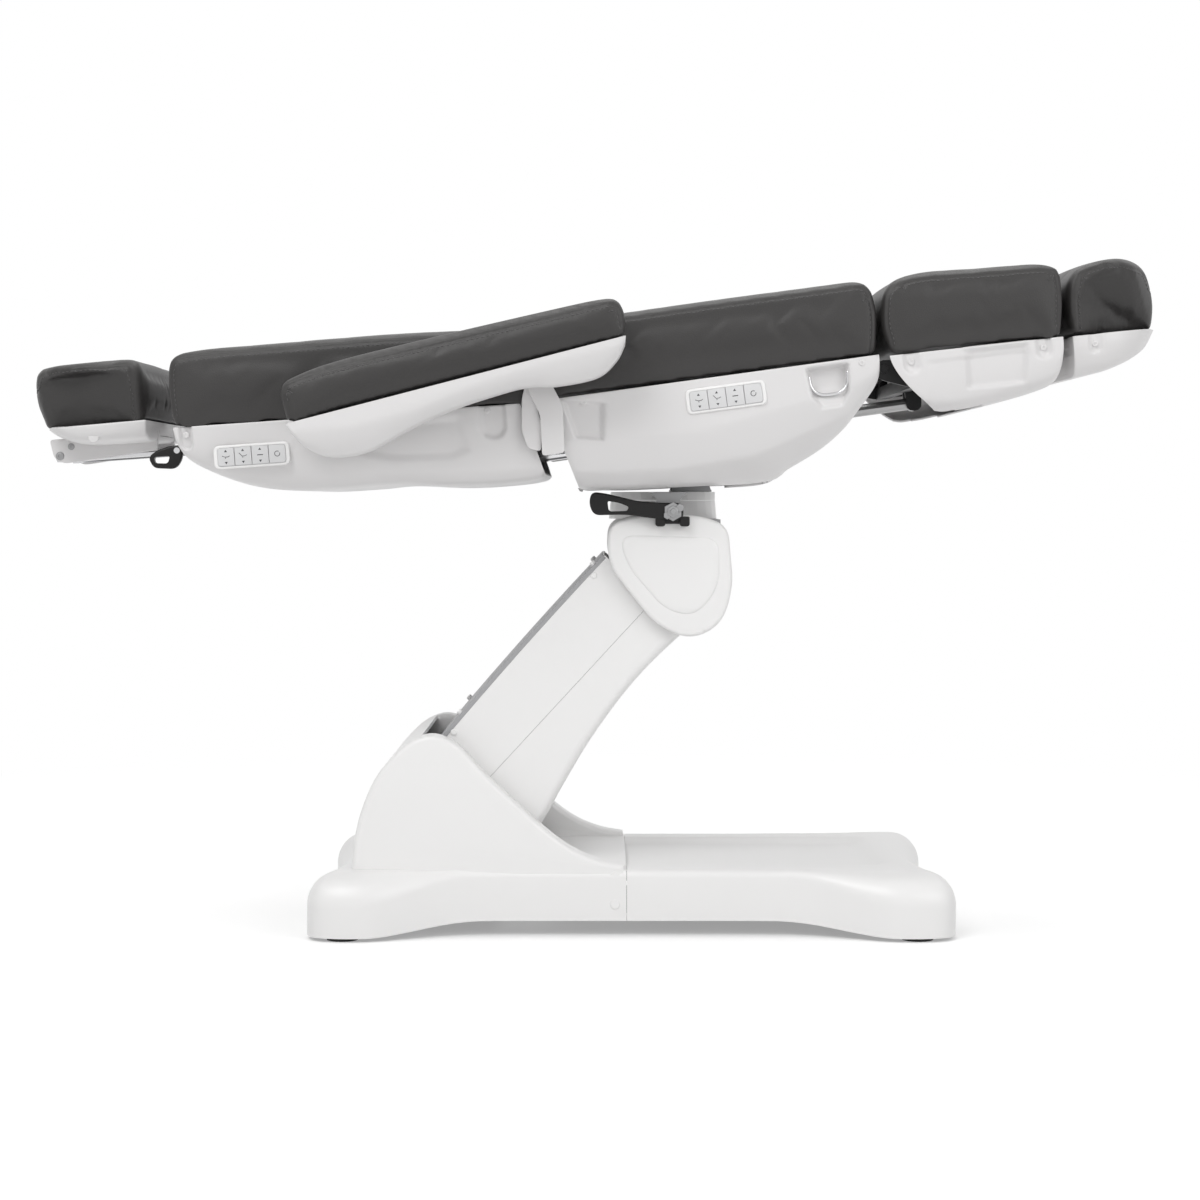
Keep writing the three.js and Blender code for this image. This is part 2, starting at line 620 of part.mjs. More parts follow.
function levellingFoot([x, y]) {
  const pad = solidOf(new THREE.LatheGeometry([
    new THREE.Vector2(0, 0), new THREE.Vector2(pads.radius, 0), new THREE.Vector2(
      pads.radius, pads.thickness * middle,
    ),
    new THREE.Vector2(pads.radius * padTopShare, pads.thickness), new THREE.Vector2(0, pads.thickness),
  ], 16).rotateX(Math.PI * middle).translate(x, y, 0));
  return join(pad, barZ(x, y, pads.stem, pads.thickness - fit.weld, pads.stemTop, 12));
}

const padTopShare = 0.7;

function controlBox() {
  const { x0, length, halfWidth, low, high, plug } = control;
  const body = block(x0, x0 + length, -halfWidth, halfWidth, low, high);
  const sockets = controlSocketShares.map((share) => block(
    x0 + length - fit.weld, x0 + length + plug, share * halfWidth - plug, share * halfWidth + plug,
    low + plug, high - plug,
  ));
  return join(body, ...sockets);
}

const controlSocketShares = [-0.6, -0.2, 0.2, 0.6];

function mainsInlet() {
  const { halfWidth, low, high, face, depth } = inlet;
  const body = block(face, face + depth, -halfWidth, halfWidth, low, high);
  const rim = (high - low) * (1 - inletRecessShare);
  const recess = block(
    face - fit.overrun, face + depth * middle, -halfWidth + rim, halfWidth - rim, low + rim, high - rim,
  );
  return body.subtract(recess);
}

const inletRecessShare = 0.8;

// Lift arm, in its own frame: x along the arm from the lower pivot, z square to it

const arm = {
  halfWidth: 160, tubeInner: 120, tubeOuter: 150, tubeLow: -22, tubeHigh: 34, hub: 36, pivotTube: 24,
  coverTop: 81, seam: -19, coverFoot: 62, coverHead: 482, bow: 8, crossX: 430, crossZ: 14, crossRadius: 20,
};
const ram = { x: 430, z: -20, eye: 12, eyeHalf: 14, barrel: 21, rod: 11, front: 300, boreEnd: 165 };
const tie = { inner: 74, outer: 84, halfDepth: 11, hub: 17, stub: 60 };

function liftArmSolid() {
  const ends = [{ x: 0, z: 0 }, { x: lift.reach, z: 0 }];
  const bars = bothSides((side) => sidePlate(outline([
    [0, arm.tubeLow], [lift.reach, arm.tubeLow], [lift.reach, arm.tubeHigh], [0, arm.tubeHigh],
  ]), side, arm.tubeInner, arm.tubeOuter));
  const hubs = ends.map(
    (end) => bothSides((side) => sideBar(end, arm.hub, side, arm.tubeInner, arm.tubeOuter, 20)),
  );
  const reach = arm.tubeInner + fit.weld;
  const pivotTubes = ends.map(({ x, z }) => barY(x, z, arm.pivotTube, -reach, reach, 20));
  const cross = barY(arm.crossX, arm.crossZ, arm.crossRadius, -reach, reach, 16);
  const lugs = bothSides((side) => sidePlate(outline([
    [ram.x - ram.eye, arm.crossZ, 0], [ram.x - ram.eye, ram.z - ram.eye, ram.eye * middle],
    [ram.x + ram.eye, ram.z - ram.eye, ram.eye * middle], [ram.x + ram.eye, arm.crossZ, 0],
  ]), side, ram.eyeHalf + fit.running, ram.eyeHalf * 2));
  const lugPin = pinAt(ram, pins.small, -ram.eyeHalf * 2, ram.eyeHalf * 2);
  const pivots = [
    pinAt(ends[0], pins.main, -pillar.outer, pillar.outer),
    pinAt(ends[1], pins.main, -casting.plateOuter, casting.plateOuter),
  ];
  return join(bars, ...hubs, ...pivotTubes, cross, lugs, lugPin, ...pivots, ...coverBrackets());
}

// Plates on the tubes that both covers are fixed to.
function coverBrackets() {
  const face = arm.halfWidth - wall.cover - fit.touch;
  const { halfRun, low, high } = coverBracket;
  return [arm.coverFoot + coverBracket.inset, arm.coverHead - coverBracket.inset].map((x) => (
    bothSides((side) => sidePlate(outline([
      [x - halfRun, low], [x + halfRun, low], [x + halfRun, high], [x - halfRun, high],
    ]), side, arm.tubeOuter - fit.weld, face))
  ));
}

const coverBracket = { inset: 60, halfRun: 9, low: -50, high: 26 };

// The arm covers meet at the seam: a channel over the top and a belly below.
const bellyShares = [
  [0, 1], [0.1, 0.95], [0.25, 0.82], [0.42, 0.69], [0.6, 0.6], [0.75, 0.565], [0.88, 0.575], [1, 0.61],
];
const belly = { depth: 118, slotHalf: 32, slotLength: 34 };
const upperCutShare = 0.45;

function armCoverUpper() {
  const { coverFoot, coverHead, coverTop, seam, bow } = arm;
  const shape = (inset) => {
    const over = inset ? fit.overrun : 0;
    const top = coverTop - inset;
    const low = seam + fit.touch * middle - over;
    const crest = new THREE.QuadraticBezierCurve(
      new THREE.Vector2(coverHead - coverTop * upperCutShare + over, top),
      new THREE.Vector2((coverFoot + coverHead) * middle, top + bow * 2), new THREE.Vector2(
        coverFoot - over, top,
      ),
    );
    const head = coverHead + over;
    return new THREE.Shape([
      new THREE.Vector2(coverFoot - over, low), new THREE.Vector2(head, low),
      new THREE.Vector2(head, coverTop * upperCutShare - inset * middle), ...crest.getPoints(6),
    ]);
  };
  const outer = easedPlate(shape(0), -arm.halfWidth, arm.halfWidth, wall.cover);
  return outer.subtract(plate(shape(wall.cover), -arm.halfWidth + wall.cover, arm.halfWidth - wall.cover));
}

function armCoverLower() {
  const { coverFoot, coverHead, seam } = arm;
  const shape = (inset) => {
    const over = inset ? fit.overrun : 0;
    const run = coverHead - coverFoot + 2 * over;
    const high = seam - fit.touch * middle + over;
    const points = bellyShares.map(([x, z]) => new THREE.Vector2(
      coverFoot - over + x * run, seam - z * belly.depth + inset,
    ));
    return new THREE.Shape([
      new THREE.Vector2(coverFoot - over, high), ...new THREE.SplineCurve(points).getPoints(14),
      new THREE.Vector2(coverHead + over, high),
    ]);
  };
  const outer = easedPlate(shape(0), -arm.halfWidth, arm.halfWidth, wall.cover);
  const inner = plate(shape(wall.cover), -arm.halfWidth + wall.cover, arm.halfWidth - wall.cover);
  const slot = block(
    coverFoot - fit.overrun, coverFoot + belly.slotLength, -belly.slotHalf, belly.slotHalf,
    seam - belly.depth - fit.overrun, seam - belly.depth * middle,
  );
  return cut(outer, inner, slot);
}

function tieLinkSolid() {
  const bars = bothSides((side) => sidePlate(outline([
    [0, -tie.halfDepth], [lift.reach, -tie.halfDepth], [lift.reach, tie.halfDepth], [0, tie.halfDepth],
  ]), side, tie.inner, tie.outer));
  const foot = bothSides((side) => sideBar({ x: 0, z: 0 }, tie.hub, side, tie.stub, tie.outer, 16));
  const top = barY(lift.reach, 0, tie.hub, -tie.outer, tie.outer, 16);
  const footPins = bothSides(
    (side) => sideBar({ x: 0, z: 0 }, pins.tie.radius, side, tie.inner, pillar.outer, pins.tie.sides),
  );
  const topPin = pinAt({ x: lift.reach, z: 0 }, pins.tie, -casting.plateOuter, casting.plateOuter);
  return join(bars, foot, top, footPins, topPin);
}

// Rams, each in its own frame: x from the tube's foot to the eye of the rod

function ramTube({ start, front, barrel, boreEnd, rod, motorShare = 0.45 }) {
  const body = barX(0, 0, barrel, start, front, 20);
  const motor = barX(
    0, barrel * ramMotorOffsetShare, barrel * ramMotorShare, start,
    start + (front - start) * motorShare, 16,
  );
  return cut(join(body, motor), barX(0, 0, rod + fit.touch, boreEnd, front + fit.overrun, 12));
}

const ramMotorShare = 0.85;
const ramMotorOffsetShare = 0.4;

function ramRod({ from, to, rod, eye, eyeHalf, bore }) {
  const shaft = barX(0, 0, rod, from, to - eye * middle, 12);
  return cut(
    join(shaft, barY(to, 0, eye, -eyeHalf, eyeHalf, 16)),
    barY(to, 0, bore, -eyeHalf * 2, eyeHalf * 2, 12),
  );
}

const between = (from, to) => ({
  length: Math.hypot(to.x - from.x, to.z - from.z),
  degrees: THREE.MathUtils.radToDeg(Math.atan2(to.z - from.z, to.x - from.x)),
});

function liftRamTube() {
  const foot = barY(0, 0, ram.eye, -ram.eyeHalf, ram.eyeHalf, 16);
  const start = actuatorLug.radius + fit.overrun;
  const neck = block(0, start + fit.weld, -ram.eyeHalf, ram.eyeHalf, -ram.eye * middle, ram.eye * middle);
  const footPin = barY(0, 0, pins.small.radius, -actuatorLug.outer, actuatorLug.outer, pins.small.sides);
  const tube = ramTube({
    start, front: ram.front, barrel: ram.barrel, boreEnd: ram.boreEnd, rod: ram.rod,
  });
  return join(foot, neck, footPin, tube);
}

function liftRamRod(length) {
  return ramRod({
    from: ram.boreEnd + (ram.front - ram.boreEnd) * middle, to: length, rod: ram.rod, eye: ram.eye,
    eyeHalf: ram.eyeHalf, bore: pins.small.radius + fit.touch,
  });
}

// Arm head, in world places

const headCap = { inner: 165, thickness: 25, ease: 6, behind: 94.5, below: 111.9, length: 205, height: 204 };
headCap.x = upperPivot.x - headCap.behind;
headCap.z = upperPivot.z - headCap.below;
const casting = { plateInner: 151, plateOuter: 164.7, bridgeRise: 62.1, bridge: 21, boss: 30 };
casting.crossLow = upperPivot.z + casting.bridgeRise;
casting.crossHigh = casting.crossLow + casting.bridge;
const earShares = [
  [0, 0.6078, 0.3922], [0.0146, 0.9314, 0.1961], [0.239, 1, 0.098], [0.7268, 0.9902, 0.098],
  [0.9561, 0.9118, 0.1667], [1, 0.4118, 0.2941], [0.9024, 0.1176, 0.1961], [0.6585, 0, 0.2451],
  [0.3854, 0.1176, 0.1961],
];

function armHeadCasting() {
  const { boss, crossLow, crossHigh } = casting;
  const headX = upperPivot.x - boss * 2;
  const footX = upperPivot.x + boss * 3;
  const side = (s) => sidePlate(outline([
    [upperPivot.x - boss, upperPivot.z - boss, boss], [upperPivot.x - boss, crossLow - boss, boss],
    [headX, crossLow, 0], [headX, crossHigh, 0], [footX, crossHigh, 0],
    [upperTie.x + boss, upperTie.z, boss], [upperTie.x + boss * middle, upperTie.z - boss, boss],
    [upperTie.x - boss, upperTie.z - boss * middle, boss],
  ]), s, casting.plateInner, casting.plateOuter);
  const bridge = block(headX, footX, -casting.plateOuter, casting.plateOuter, crossLow, crossHigh);
  const reach = casting.plateOuter + fit.weld;
  return cut(
    join(side(1), side(-1), bridge), boreAt(upperPivot, pins.main, -reach, reach), boreAt(
      upperTie, pins.tie, -reach, reach,
    ),
  );
}

function headCover(side) {
  const { inner, thickness, ease } = headCap;
  const body = easedPlate(outline(cornersOf(earShares, headCap), 3), inner - ease, inner + thickness, ease);
  const rest = block(-armrest.length, armrest.length, 0, inner, 0, seat.z);
  const cover = body.subtract(rest);
  return side > 0 ? cover : cover.mirror([0, 1, 0]);
}

function swivelCollar() {
  const { x, radius, flare, plateLow } = swivel;
  const low = casting.crossHigh + fit.touch;
  const high = plateLow - fit.touch;
  return solidOf(new THREE.LatheGeometry([
    [0, low], [radius + flare, low], [radius, high], [0, high],
  ].map(([r, z]) => new THREE.Vector2(r, z)), 28).rotateX(Math.PI * middle).translate(x, 0, 0));
}

// Swivel plate, tilt bracket, lock bracket and lock lever, in world places

const tiltBracket = { inner: 44, outer: 52, halfRun: 34, hub: 20, lugRise: 50, foot: 3 };
tiltBracket.x0 = tilt.x - tiltBracket.halfRun;
tiltBracket.x1 = tilt.x + tiltBracket.halfRun;
tiltBracket.lugZ = tilt.z + tiltBracket.lugRise;
const lockAt = placeOf(places.lock);
const lockTab = { x: lockAt.x, low: lockAt.z, halfWidth: 19, flare: 12, y0: 166, y1: 171, tongueRise: 9, round: 2 };
lockTab.tongueLow = lockTab.low + lockTab.tongueRise;
lockTab.tongueHigh = swivel.plateHigh - fit.running;
const lockHub = { ahead: 6, drop: 12, radius: 15, thickness: 4, foot: 20, round: 3 };
lockHub.x = lockAt.x + lockHub.ahead;
lockHub.z = lockAt.z - lockHub.drop;
lockHub.low = lockHub.z - lockHub.foot;
const lockLever = { inner: 196, outer: 209, behind: 129, below: 27, length: 152, height: 47 };
lockLever.x = lockAt.x - lockLever.behind;
lockLever.z = lockAt.z - lockLever.below;

function tiltBracketSolid() {
  const floor = swivel.plateHigh + fit.touch;
  const { hub, lugZ } = tiltBracket;
  const cheeks = bothSides((side) => sidePlate(outline([
    [tiltBracket.x0, floor, 0], [tilt.x - hub, tilt.z, 0], [
      tilt.x - hub * middle, lugZ + hub * middle, hub * middle,
    ],
    [tilt.x + hub * middle, lugZ + hub * middle, hub * middle], [tilt.x + hub, tilt.z, 0], [
      tiltBracket.x1, floor, 0,
    ],
  ]), side, tiltBracket.inner, tiltBracket.outer));
  const foot = block(
    tiltBracket.x0, tiltBracket.x1, -tiltBracket.outer, tiltBracket.outer, floor, floor + tiltBracket.foot,
  );
  const lugPin = pinAt(
    { x: tilt.x, z: lugZ }, pins.small, -tiltBracket.inner - fit.weld, tiltBracket.inner + fit.weld,
  );
  const bore = boreAt(tilt, pins.tie, -tiltBracket.outer - fit.weld, tiltBracket.outer + fit.weld);
  return cut(join(cheeks, foot, lugPin), bore);
}

function lockBracketSolid() {
  const { x, halfWidth, flare, y0, y1, low, tongueHigh, tongueLow, round } = lockTab;
  const tongue = block(x - halfWidth, x + halfWidth, -y1, -swivel.radius * middle, tongueLow, tongueHigh);
  const tab = plate(outline([
    [x - halfWidth - flare, tongueHigh, 0], [x - halfWidth, tongueLow, flare * middle], [
      x - halfWidth, low, round,
    ],
    [x + halfWidth, low, round], [x + halfWidth, tongueLow, flare * middle], [
      x + halfWidth + flare, tongueHigh, 0,
    ],
  ], 3), -y1, -y0);
  return join(tongue, tab).subtract(
    barZ(swivel.x, 0, swivel.radius + fit.touch, tongueLow - fit.overrun, tongueHigh + fit.overrun, 28),
  );
}

// The plate and hub that carry the lock lever on the near head cover.
function lockMountSolid() {
  const { x, z, low, radius, thickness, round } = lockHub;
  const face = headCap.inner + headCap.thickness + fit.touch;
  const back = plate(outline([
    [x - radius, low, round], [x + radius, low, round], [x + radius, z + radius, radius],
    [x - radius, z + radius, radius],
  ], 3), -face - thickness, -face);
  return join(back, pinAt(lockHub, pins.small, -lockLever.outer - fit.weld, -face));
}

const lockLeverShares = [
  [0.0263, 1, 0.2979], [0.1842, 0.9362, 0.1702], [0.5132, 0.6809, 0.1702], [0.7763, 0.617, 0.1702],
  [1, 0.617, 0.2979], [1, 0, 0.2979], [0.7763, 0.0426, 0.1277], [0.3816, 0.2128, 0.2128],
  [0.0526, 0.1915, 0.3404], [0, 0.5745, 0.2979],
];
const lockSlotShares = [
  [0.1974, 0.6809, 0.1277], [0.3158, 0.617, 0.1064], [0.4211, 0.4894, 0.1064], [0.4079, 0.3404, 0.0851],
  [0.2105, 0.3191, 0.1277],
];

function lockLeverSolid() {
  const body = easedPlate(
    outline(cornersOf(lockLeverShares, lockLever), 2), -lockLever.outer, -lockLever.inner, fit.loose,
  );
  const slot = plate(
    outline(cornersOf(lockSlotShares, lockLever), 2), -lockLever.outer - fit.overrun,
    -lockLever.inner + fit.overrun,
  );
  return cut(
    body, slot, boreAt(lockHub, pins.small, -lockLever.outer - fit.weld, -lockLever.inner + fit.weld),
  );
}

// Seat section, in the seat frame

const seatRowShares = [
  [0.0037, 0.0861, 0.8314, 0.9967], [0.0262, 0.1086, 0.8547, 1], [0.0936, 0.1573, 0.8721, 1],
  [0.206, 0.2434, 0.907, 1], [0.4307, 0.4401, 0.9593, 1], [0.6367, 0.6273, 1, 1],
  [0.7491, 0.6929, 0.9302, 1], [0.8427, 0.7865, 0.814, 1], [0.9363, 0.8801, 0.6279, 1],
  [0.9813, 0.9476, 0.407, 1], [0.9944, 0.9906, 0.1977, 0.9967], [0.9963, 0.9963, 0.0349, 0.9902],
];

const frameRail = { y: 150, halfWidth: 14, low: -52, high: -30, bar: 14 };
const legEar = { inner: 228, outer: 236, radius: 14 };
const legLug = { inner: 239, outer: 247 };
const backEar = { clear: 5, thickness: 4.5, radius: 11, tube: 9 };
backEar.inner = seat.halfWidth + backEar.clear;
backEar.outer = backEar.inner + backEar.thickness;
backEar.seatInner = backEar.outer + fit.running;
backEar.seatOuter = backEar.seatInner + backEar.thickness;
const seatTubeAt = toLocal(seatFrame, placeOf(places.seatTube).x, placeOf(places.seatTube).z);
const backTubeAt = toLocal(backFrame, placeOf(places.backTube).x, placeOf(places.backTube).z);
const tiltInSeat = toLocal(seatFrame, tilt.x, tilt.z);
const tiltLugInSeat = toLocal(seatFrame, tilt.x, tiltBracket.lugZ);
const tiltRam = {
  x: 30, z: -68, eye: 11, eyeHalf: 10, barrel: 16, rod: 8, front: 150, boreEnd: 60, play: 1.5,
};
const ring = { outer: 22, bore: 16.5, pin: 6, half: 10 };
const backRam = {
  y: 95, x: 221.6, z: -77.2, eye: 12, barrel: 18, rod: 9, front: 78, rodEnd: 192, boreEnd: 199,
};
const backRamFoot = { x: -32.7, z: -80 };
const legRam = {
  fromFoot: 234, z: -76, eye: 13, barrel: 19, rod: 10, front: 150, rodEnd: 198, boreEnd: 294,
};
legRam.x = seat.length - legRam.fromFoot;
const legRamEye = { x: 71.5, z: -53 };

// Ears that climb from a cross tube to the hinge beside the cushions.
function hingeEars(tubeAt, hingeAt, inner, outer) {
  const r = backEar.radius;
  return bothSides((side) => sidePlate(outline([
    [tubeAt.x - r, tubeAt.z - r, r], [hingeAt.x - r, hingeAt.z + r, r], [hingeAt.x + r, hingeAt.z + r, r],
    [tubeAt.x + r, tubeAt.z - r, r],
  ]), side, inner, outer));
}

// A cross bar under the cushion with legs down to the rails.
function seatBridge(x, halfRun) {
  const { y, bar } = frameRail;
  return join(
    seatPost(x, halfRun, 1), seatPost(x, halfRun, -1), block(x - halfRun, x + halfRun, -y, y, -bar, 0),
  );
}

function seatPost(x, halfRun, side) {
  const { y, halfWidth, low } = frameRail;
  return block(x - halfRun, x + halfRun, side * y - halfWidth, side * y + halfWidth, low, 0);
}

// The tilt ram's cross bar stops short of the far rail, where the back ram swings up.
// A strut holds its end.
function tiltRamBridge() {
  const { y, bar } = frameRail;
  const x = tiltRam.x + bridgeStep;
  return join(
    seatPost(x, bridgeRun, -1), block(x - bridgeRun, x + bridgeRun, -y, strut.outer, -bar, 0),
    block(x - bridgeRun, backRam.x, strut.inner, strut.outer, -bar, 0),
  );
}

function lugPair(at, topZ, radius, inner, outer, y = 0) {
  const shape = outline([
    [at.x - radius, topZ, 0], [at.x - radius, at.z - radius, radius], [
      at.x + radius, at.z - radius, radius,
    ],
    [at.x + radius, topZ, 0],
  ], 3);
  return join(plate(shape, y + inner, y + outer), plate(shape, y - outer, y - inner));
}

function seatFrameSolid() {
  const { y, halfWidth, low, high } = frameRail;
  const footX = seat.length - legCrossBack;
  const rails = bothSides((side) => block(
    seatTubeAt.x, footX, side * y - halfWidth, side * y + halfWidth, low, high,
  ));
  const hingeTubes = bothSides(
    (side) => sideBar(seatTubeAt, backEar.tube, side, frameRail.y, backEar.seatOuter),
  );
  const ears = hingeEars(seatTubeAt, hingeInSeat, backEar.seatInner, backEar.seatOuter);
  const stubs = bothSides(
    (side) => sideBar(hingeInSeat, pins.small.radius, side, backEar.inner - fit.touch, backEar.seatOuter),
  );
  const legCross = block(footX - halfWidth, footX, -legEar.outer, legEar.outer, low, high);
  const r = legEar.radius;
  const legEars = bothSides((side) => sidePlate(outline([
    [footX - halfWidth, low, 0], [footX - halfWidth, high, 0], [legHingeInSeat.x, legHingeInSeat.z + r, r],
    [legHingeInSeat.x + r, legHingeInSeat.z + r * middle, r], [
      legHingeInSeat.x + r, legHingeInSeat.z - r, r,
    ],
  ]), side, legEar.inner, legEar.outer));
  const legPins = bothSides(
    (side) => sideBar(legHingeInSeat, pins.small.radius, side, legEar.inner, legLug.outer + fit.touch),
  );
  const hub = tiltBracket.hub * tiltEarShare;
  const tiltEars = bothSides((side) => sidePlate(outline([
    [tiltInSeat.x - hub, 0, 0], [tiltInSeat.x - hub, tiltInSeat.z - hub, hub],
    [tiltInSeat.x + hub, tiltInSeat.z - hub, hub], [tiltInSeat.x + hub, 0, 0],
  ]), side, tiltBracket.outer + fit.running, tiltBracket.outer + tiltEar));
  const tiltPin = pinAt(tiltInSeat, pins.tie, -tiltBracket.outer - tiltEar, tiltBracket.outer + tiltEar);
  const bridges = [tiltRamBridge(), seatBridge(backRam.x, hub), seatBridge(legRam.x, bridgeRun)];
  const ramLugs = lugPair(
    backRam, -frameRail.bar * middle, backLug.radius, backLug.inner, backLug.outer, backRam.y,
  );
  const ramPin = barY(
    backRam.x, backRam.z, ring.pin, backRam.y - backLug.outer, backRam.y + backLug.outer, 12,
  );
  const legLugs = lugPair(legRam, -frameRail.bar * middle, backLug.radius, backLug.inner, backLug.outer);
  const legRamPin = barY(legRam.x, legRam.z, ring.pin, -backLug.outer, backLug.outer, 12);
  const tiltLugs = lugPair(
    tiltRam, -frameRail.bar * middle, tiltRam.eye, tiltRam.eyeHalf + fit.running, tiltRam.eyeHalf + backEar.tube,
  );
  const tiltRamPin = pinAt(tiltRam, pins.small, -tiltRam.eyeHalf * 2, tiltRam.eyeHalf * 2);
  return join(
    rails, hingeTubes, ears, stubs, legCross, legEars, legPins, tiltEars, tiltPin, ...bridges, ramLugs, ramPin,
    legLugs, legRamPin, tiltLugs, tiltRamPin,
  );
}

const legCrossBack = 31;
const bridgeStep = 6;
const bridgeRun = 12;
const tiltEar = 8;
const tiltEarShare = 0.9;
const backLug = { radius: 12, inner: 20, outer: 26 };
const strut = { inner: 60, outer: 74 };

function tiltRamTube() {
  const { eye, eyeHalf, barrel, rod, front, boreEnd } = tiltRam;
  const foot = barY(0, 0, eye, -eyeHalf, eyeHalf, 16);
  const neck = block(0, eye + fit.overrun, -eyeHalf, eyeHalf, -eye * middle, eye * middle);
  const tube = ramTube({ start: eye + fit.weld, front, barrel, boreEnd, rod, motorShare: 0.3 });
  return join(foot, neck, tube).subtract(boreAt({ x: 0, z: 0 }, pins.small, -eyeHalf * 2, eyeHalf * 2));
}

function tiltRamRod(length) {
  const { eye, eyeHalf, rod, front, boreEnd, play } = tiltRam;
  return ramRod({
    from: boreEnd + (front - boreEnd) * middle, to: length, rod, eye, eyeHalf, bore: pins.small.radius + play,
  });
}

// A ram hung the other way round, in its own frame: x from the rod's eye to the ring round a fixed pin.
function ringRamRod({ eye, rod, rodEnd }, y) {
  const shaft = barX(y, 0, rod, eye * middle, rodEnd, 12);
  const knuckle = barY(0, 0, eye, y - ring.half, y + ring.half, 16);
  return cut(
    join(shaft, knuckle), boreAt({ x: 0, z: 0 }, pins.small, y - ring.half * 2, y + ring.half * 2),
  );
}

function ringRamTube({ barrel, rod, front, boreEnd }, length, y) {
  const body = barX(y, 0, barrel, front, length - ring.bore - fit.weld, 16);
  const hoop = barY(length, 0, ring.outer, y - ring.half, y + ring.half, 20);
  const hollow = barX(y, 0, rod + fit.touch, front - fit.overrun, boreEnd, 12);
  return cut(join(body, hoop), hollow, barY(length, 0, ring.bore, y - barrel * 2, y + barrel * 2, 20));
}

// Keypads: a raised pad on the near wall with one row of keys in its pocket

const keypad = { raise: 3, sink: 7, key: 6, rim: 4, radius: 12, gap: 0.5 };
keypad.outer = seatShell.halfWidth + keypad.raise;
keypad.inner = seatShell.halfWidth - keypad.sink;
keypad.pocket = seatShell.halfWidth - keypad.raise;
keypad.keyOuter = keypad.outer + fit.running + keypad.gap;
keypad.keyInner = keypad.keyOuter - keypad.key;
const seatPad = { fromFoot: 298, run: 114, low: -49, high: -18 };
seatPad.x0 = seat.length - seatPad.fromFoot;
seatPad.x1 = seatPad.x0 + seatPad.run;
const backPad = { fromHead: 72, run: 107, low: -66, high: -37 };
backPad.x0 = backPad.fromHead - back.length;
backPad.x1 = backPad.x0 + backPad.run;
const keyCount = 4;

function padBlock({ x0, x1, low, high }) {
  const { rim, radius, outer, inner } = keypad;
  return plate(outline([
    [x0 - rim * 2, low - rim, radius], [x1 + rim * 2, low - rim, radius], [
      x1 + rim * 2, high + rim, radius,
    ],
    [x0 - rim * 2, high + rim, radius],
  ], 3), -outer, -inner);
}

const padPocket = ({ x0, x1, low, high }) => block(
  x0, x1, -keypad.outer - fit.overrun, -keypad.pocket, low, high,
);

function keySolid({ x0, x1, low, high }, i) {
  const pitch = (x1 - x0) / keyCount;
  const { gap, keyOuter, keyInner } = keypad;
  return block(
    x0 + i * pitch + gap * middle, x0 + (i + 1) * pitch - gap * middle, -keyOuter, -keyInner, low + gap * middle,
    high - gap * middle,
  );
}

// Strap rings: a bent wire hung by its ends in a scoop of the seat wall

const scoop = {
  fromFoot: 111, run: 67, high: -10, low: -74, sink: 20, wire: 2.5, axisZ: -19, axisSink: 11, drop: 34,
  side: 4,
};
scoop.x0 = seat.length - scoop.fromFoot;
scoop.x1 = scoop.x0 + scoop.run;
scoop.deep = seatShell.halfWidth - scoop.sink;
scoop.axisY = seatShell.halfWidth - scoop.axisSink;

function scoopWalls(side) {
  const { x0, x1, high, low, deep } = scoop;
  const [y0, y1] = side > 0 ? [deep - wall.shell, seatShell.halfWidth - fit.running] : [
    -seatShell.halfWidth + fit.running, -deep + wall.shell,
  ];
  return block(x0 - wall.shell, x1 + wall.shell, y0, y1, (low + high) * middle, high + wall.shell);
}

function scoopHollow(side) {
  const { x0, x1, high, low, deep } = scoop;
  const outer = seatShell.halfWidth + fit.overrun;
  const shape = new THREE.Shape([
    new THREE.Vector2(deep, high), new THREE.Vector2(outer, high), new THREE.Vector2(outer, low),
    new THREE.Vector2(outer - fit.overrun * 2, low), new THREE.Vector2(
      deep, (low + high) * middle + wall.shell,
    ),
  ]);
  const across = new THREE.ExtrudeGeometry(shape, { depth: x1 - x0, bevelEnabled: false });
  const solid = solidOf(across.rotateX(Math.PI * middle).rotateZ(Math.PI * middle).translate(x0, 0, 0));
  const pinHoles = barX(
    scoop.axisY, scoop.axisZ, scoop.wire + fit.touch, x0 - scoop.side, x1 + scoop.side, 8,
  );
  const whole = join(solid, pinHoles);
  return side > 0 ? whole : whole.mirror([0, 1, 0]);
}

function strapRing(side) {
  const { x0, x1, wire, axisZ, axisY, drop } = scoop;
  const inset = wire + fit.running;
  const halfSpan = (x1 - x0) * middle - inset;
  const centreX = (x0 + x1) * middle;
  const bow = new THREE.CurvePath();
  const at = (x, z) => new THREE.Vector3(centreX + x, side * axisY, z);
  const low = axisZ - drop;
  bow.add(new THREE.LineCurve3(at(-halfSpan, axisZ), at(-halfSpan, axisZ - inset)));
  bow.add(
    new THREE.CubicBezierCurve3(
      at(-halfSpan, axisZ - inset), at(-halfSpan, low), at(halfSpan, low), at(halfSpan, axisZ - inset),
    ),
  );
  bow.add(new THREE.LineCurve3(at(halfSpan, axisZ - inset), at(halfSpan, axisZ)));
  const end = (x0, x1) => barX(side * axisY, axisZ, wire, x0, x1, 8);
  const reach = halfSpan + wire;
  const stub = scoop.side - fit.touch * 2;
  return join(
    wireAlong(bow, wire, 16), end(x0 - stub, centreX - reach + wire * 2), end(
      centreX + reach - wire * 2, x1 + stub,
    ),
  );
}

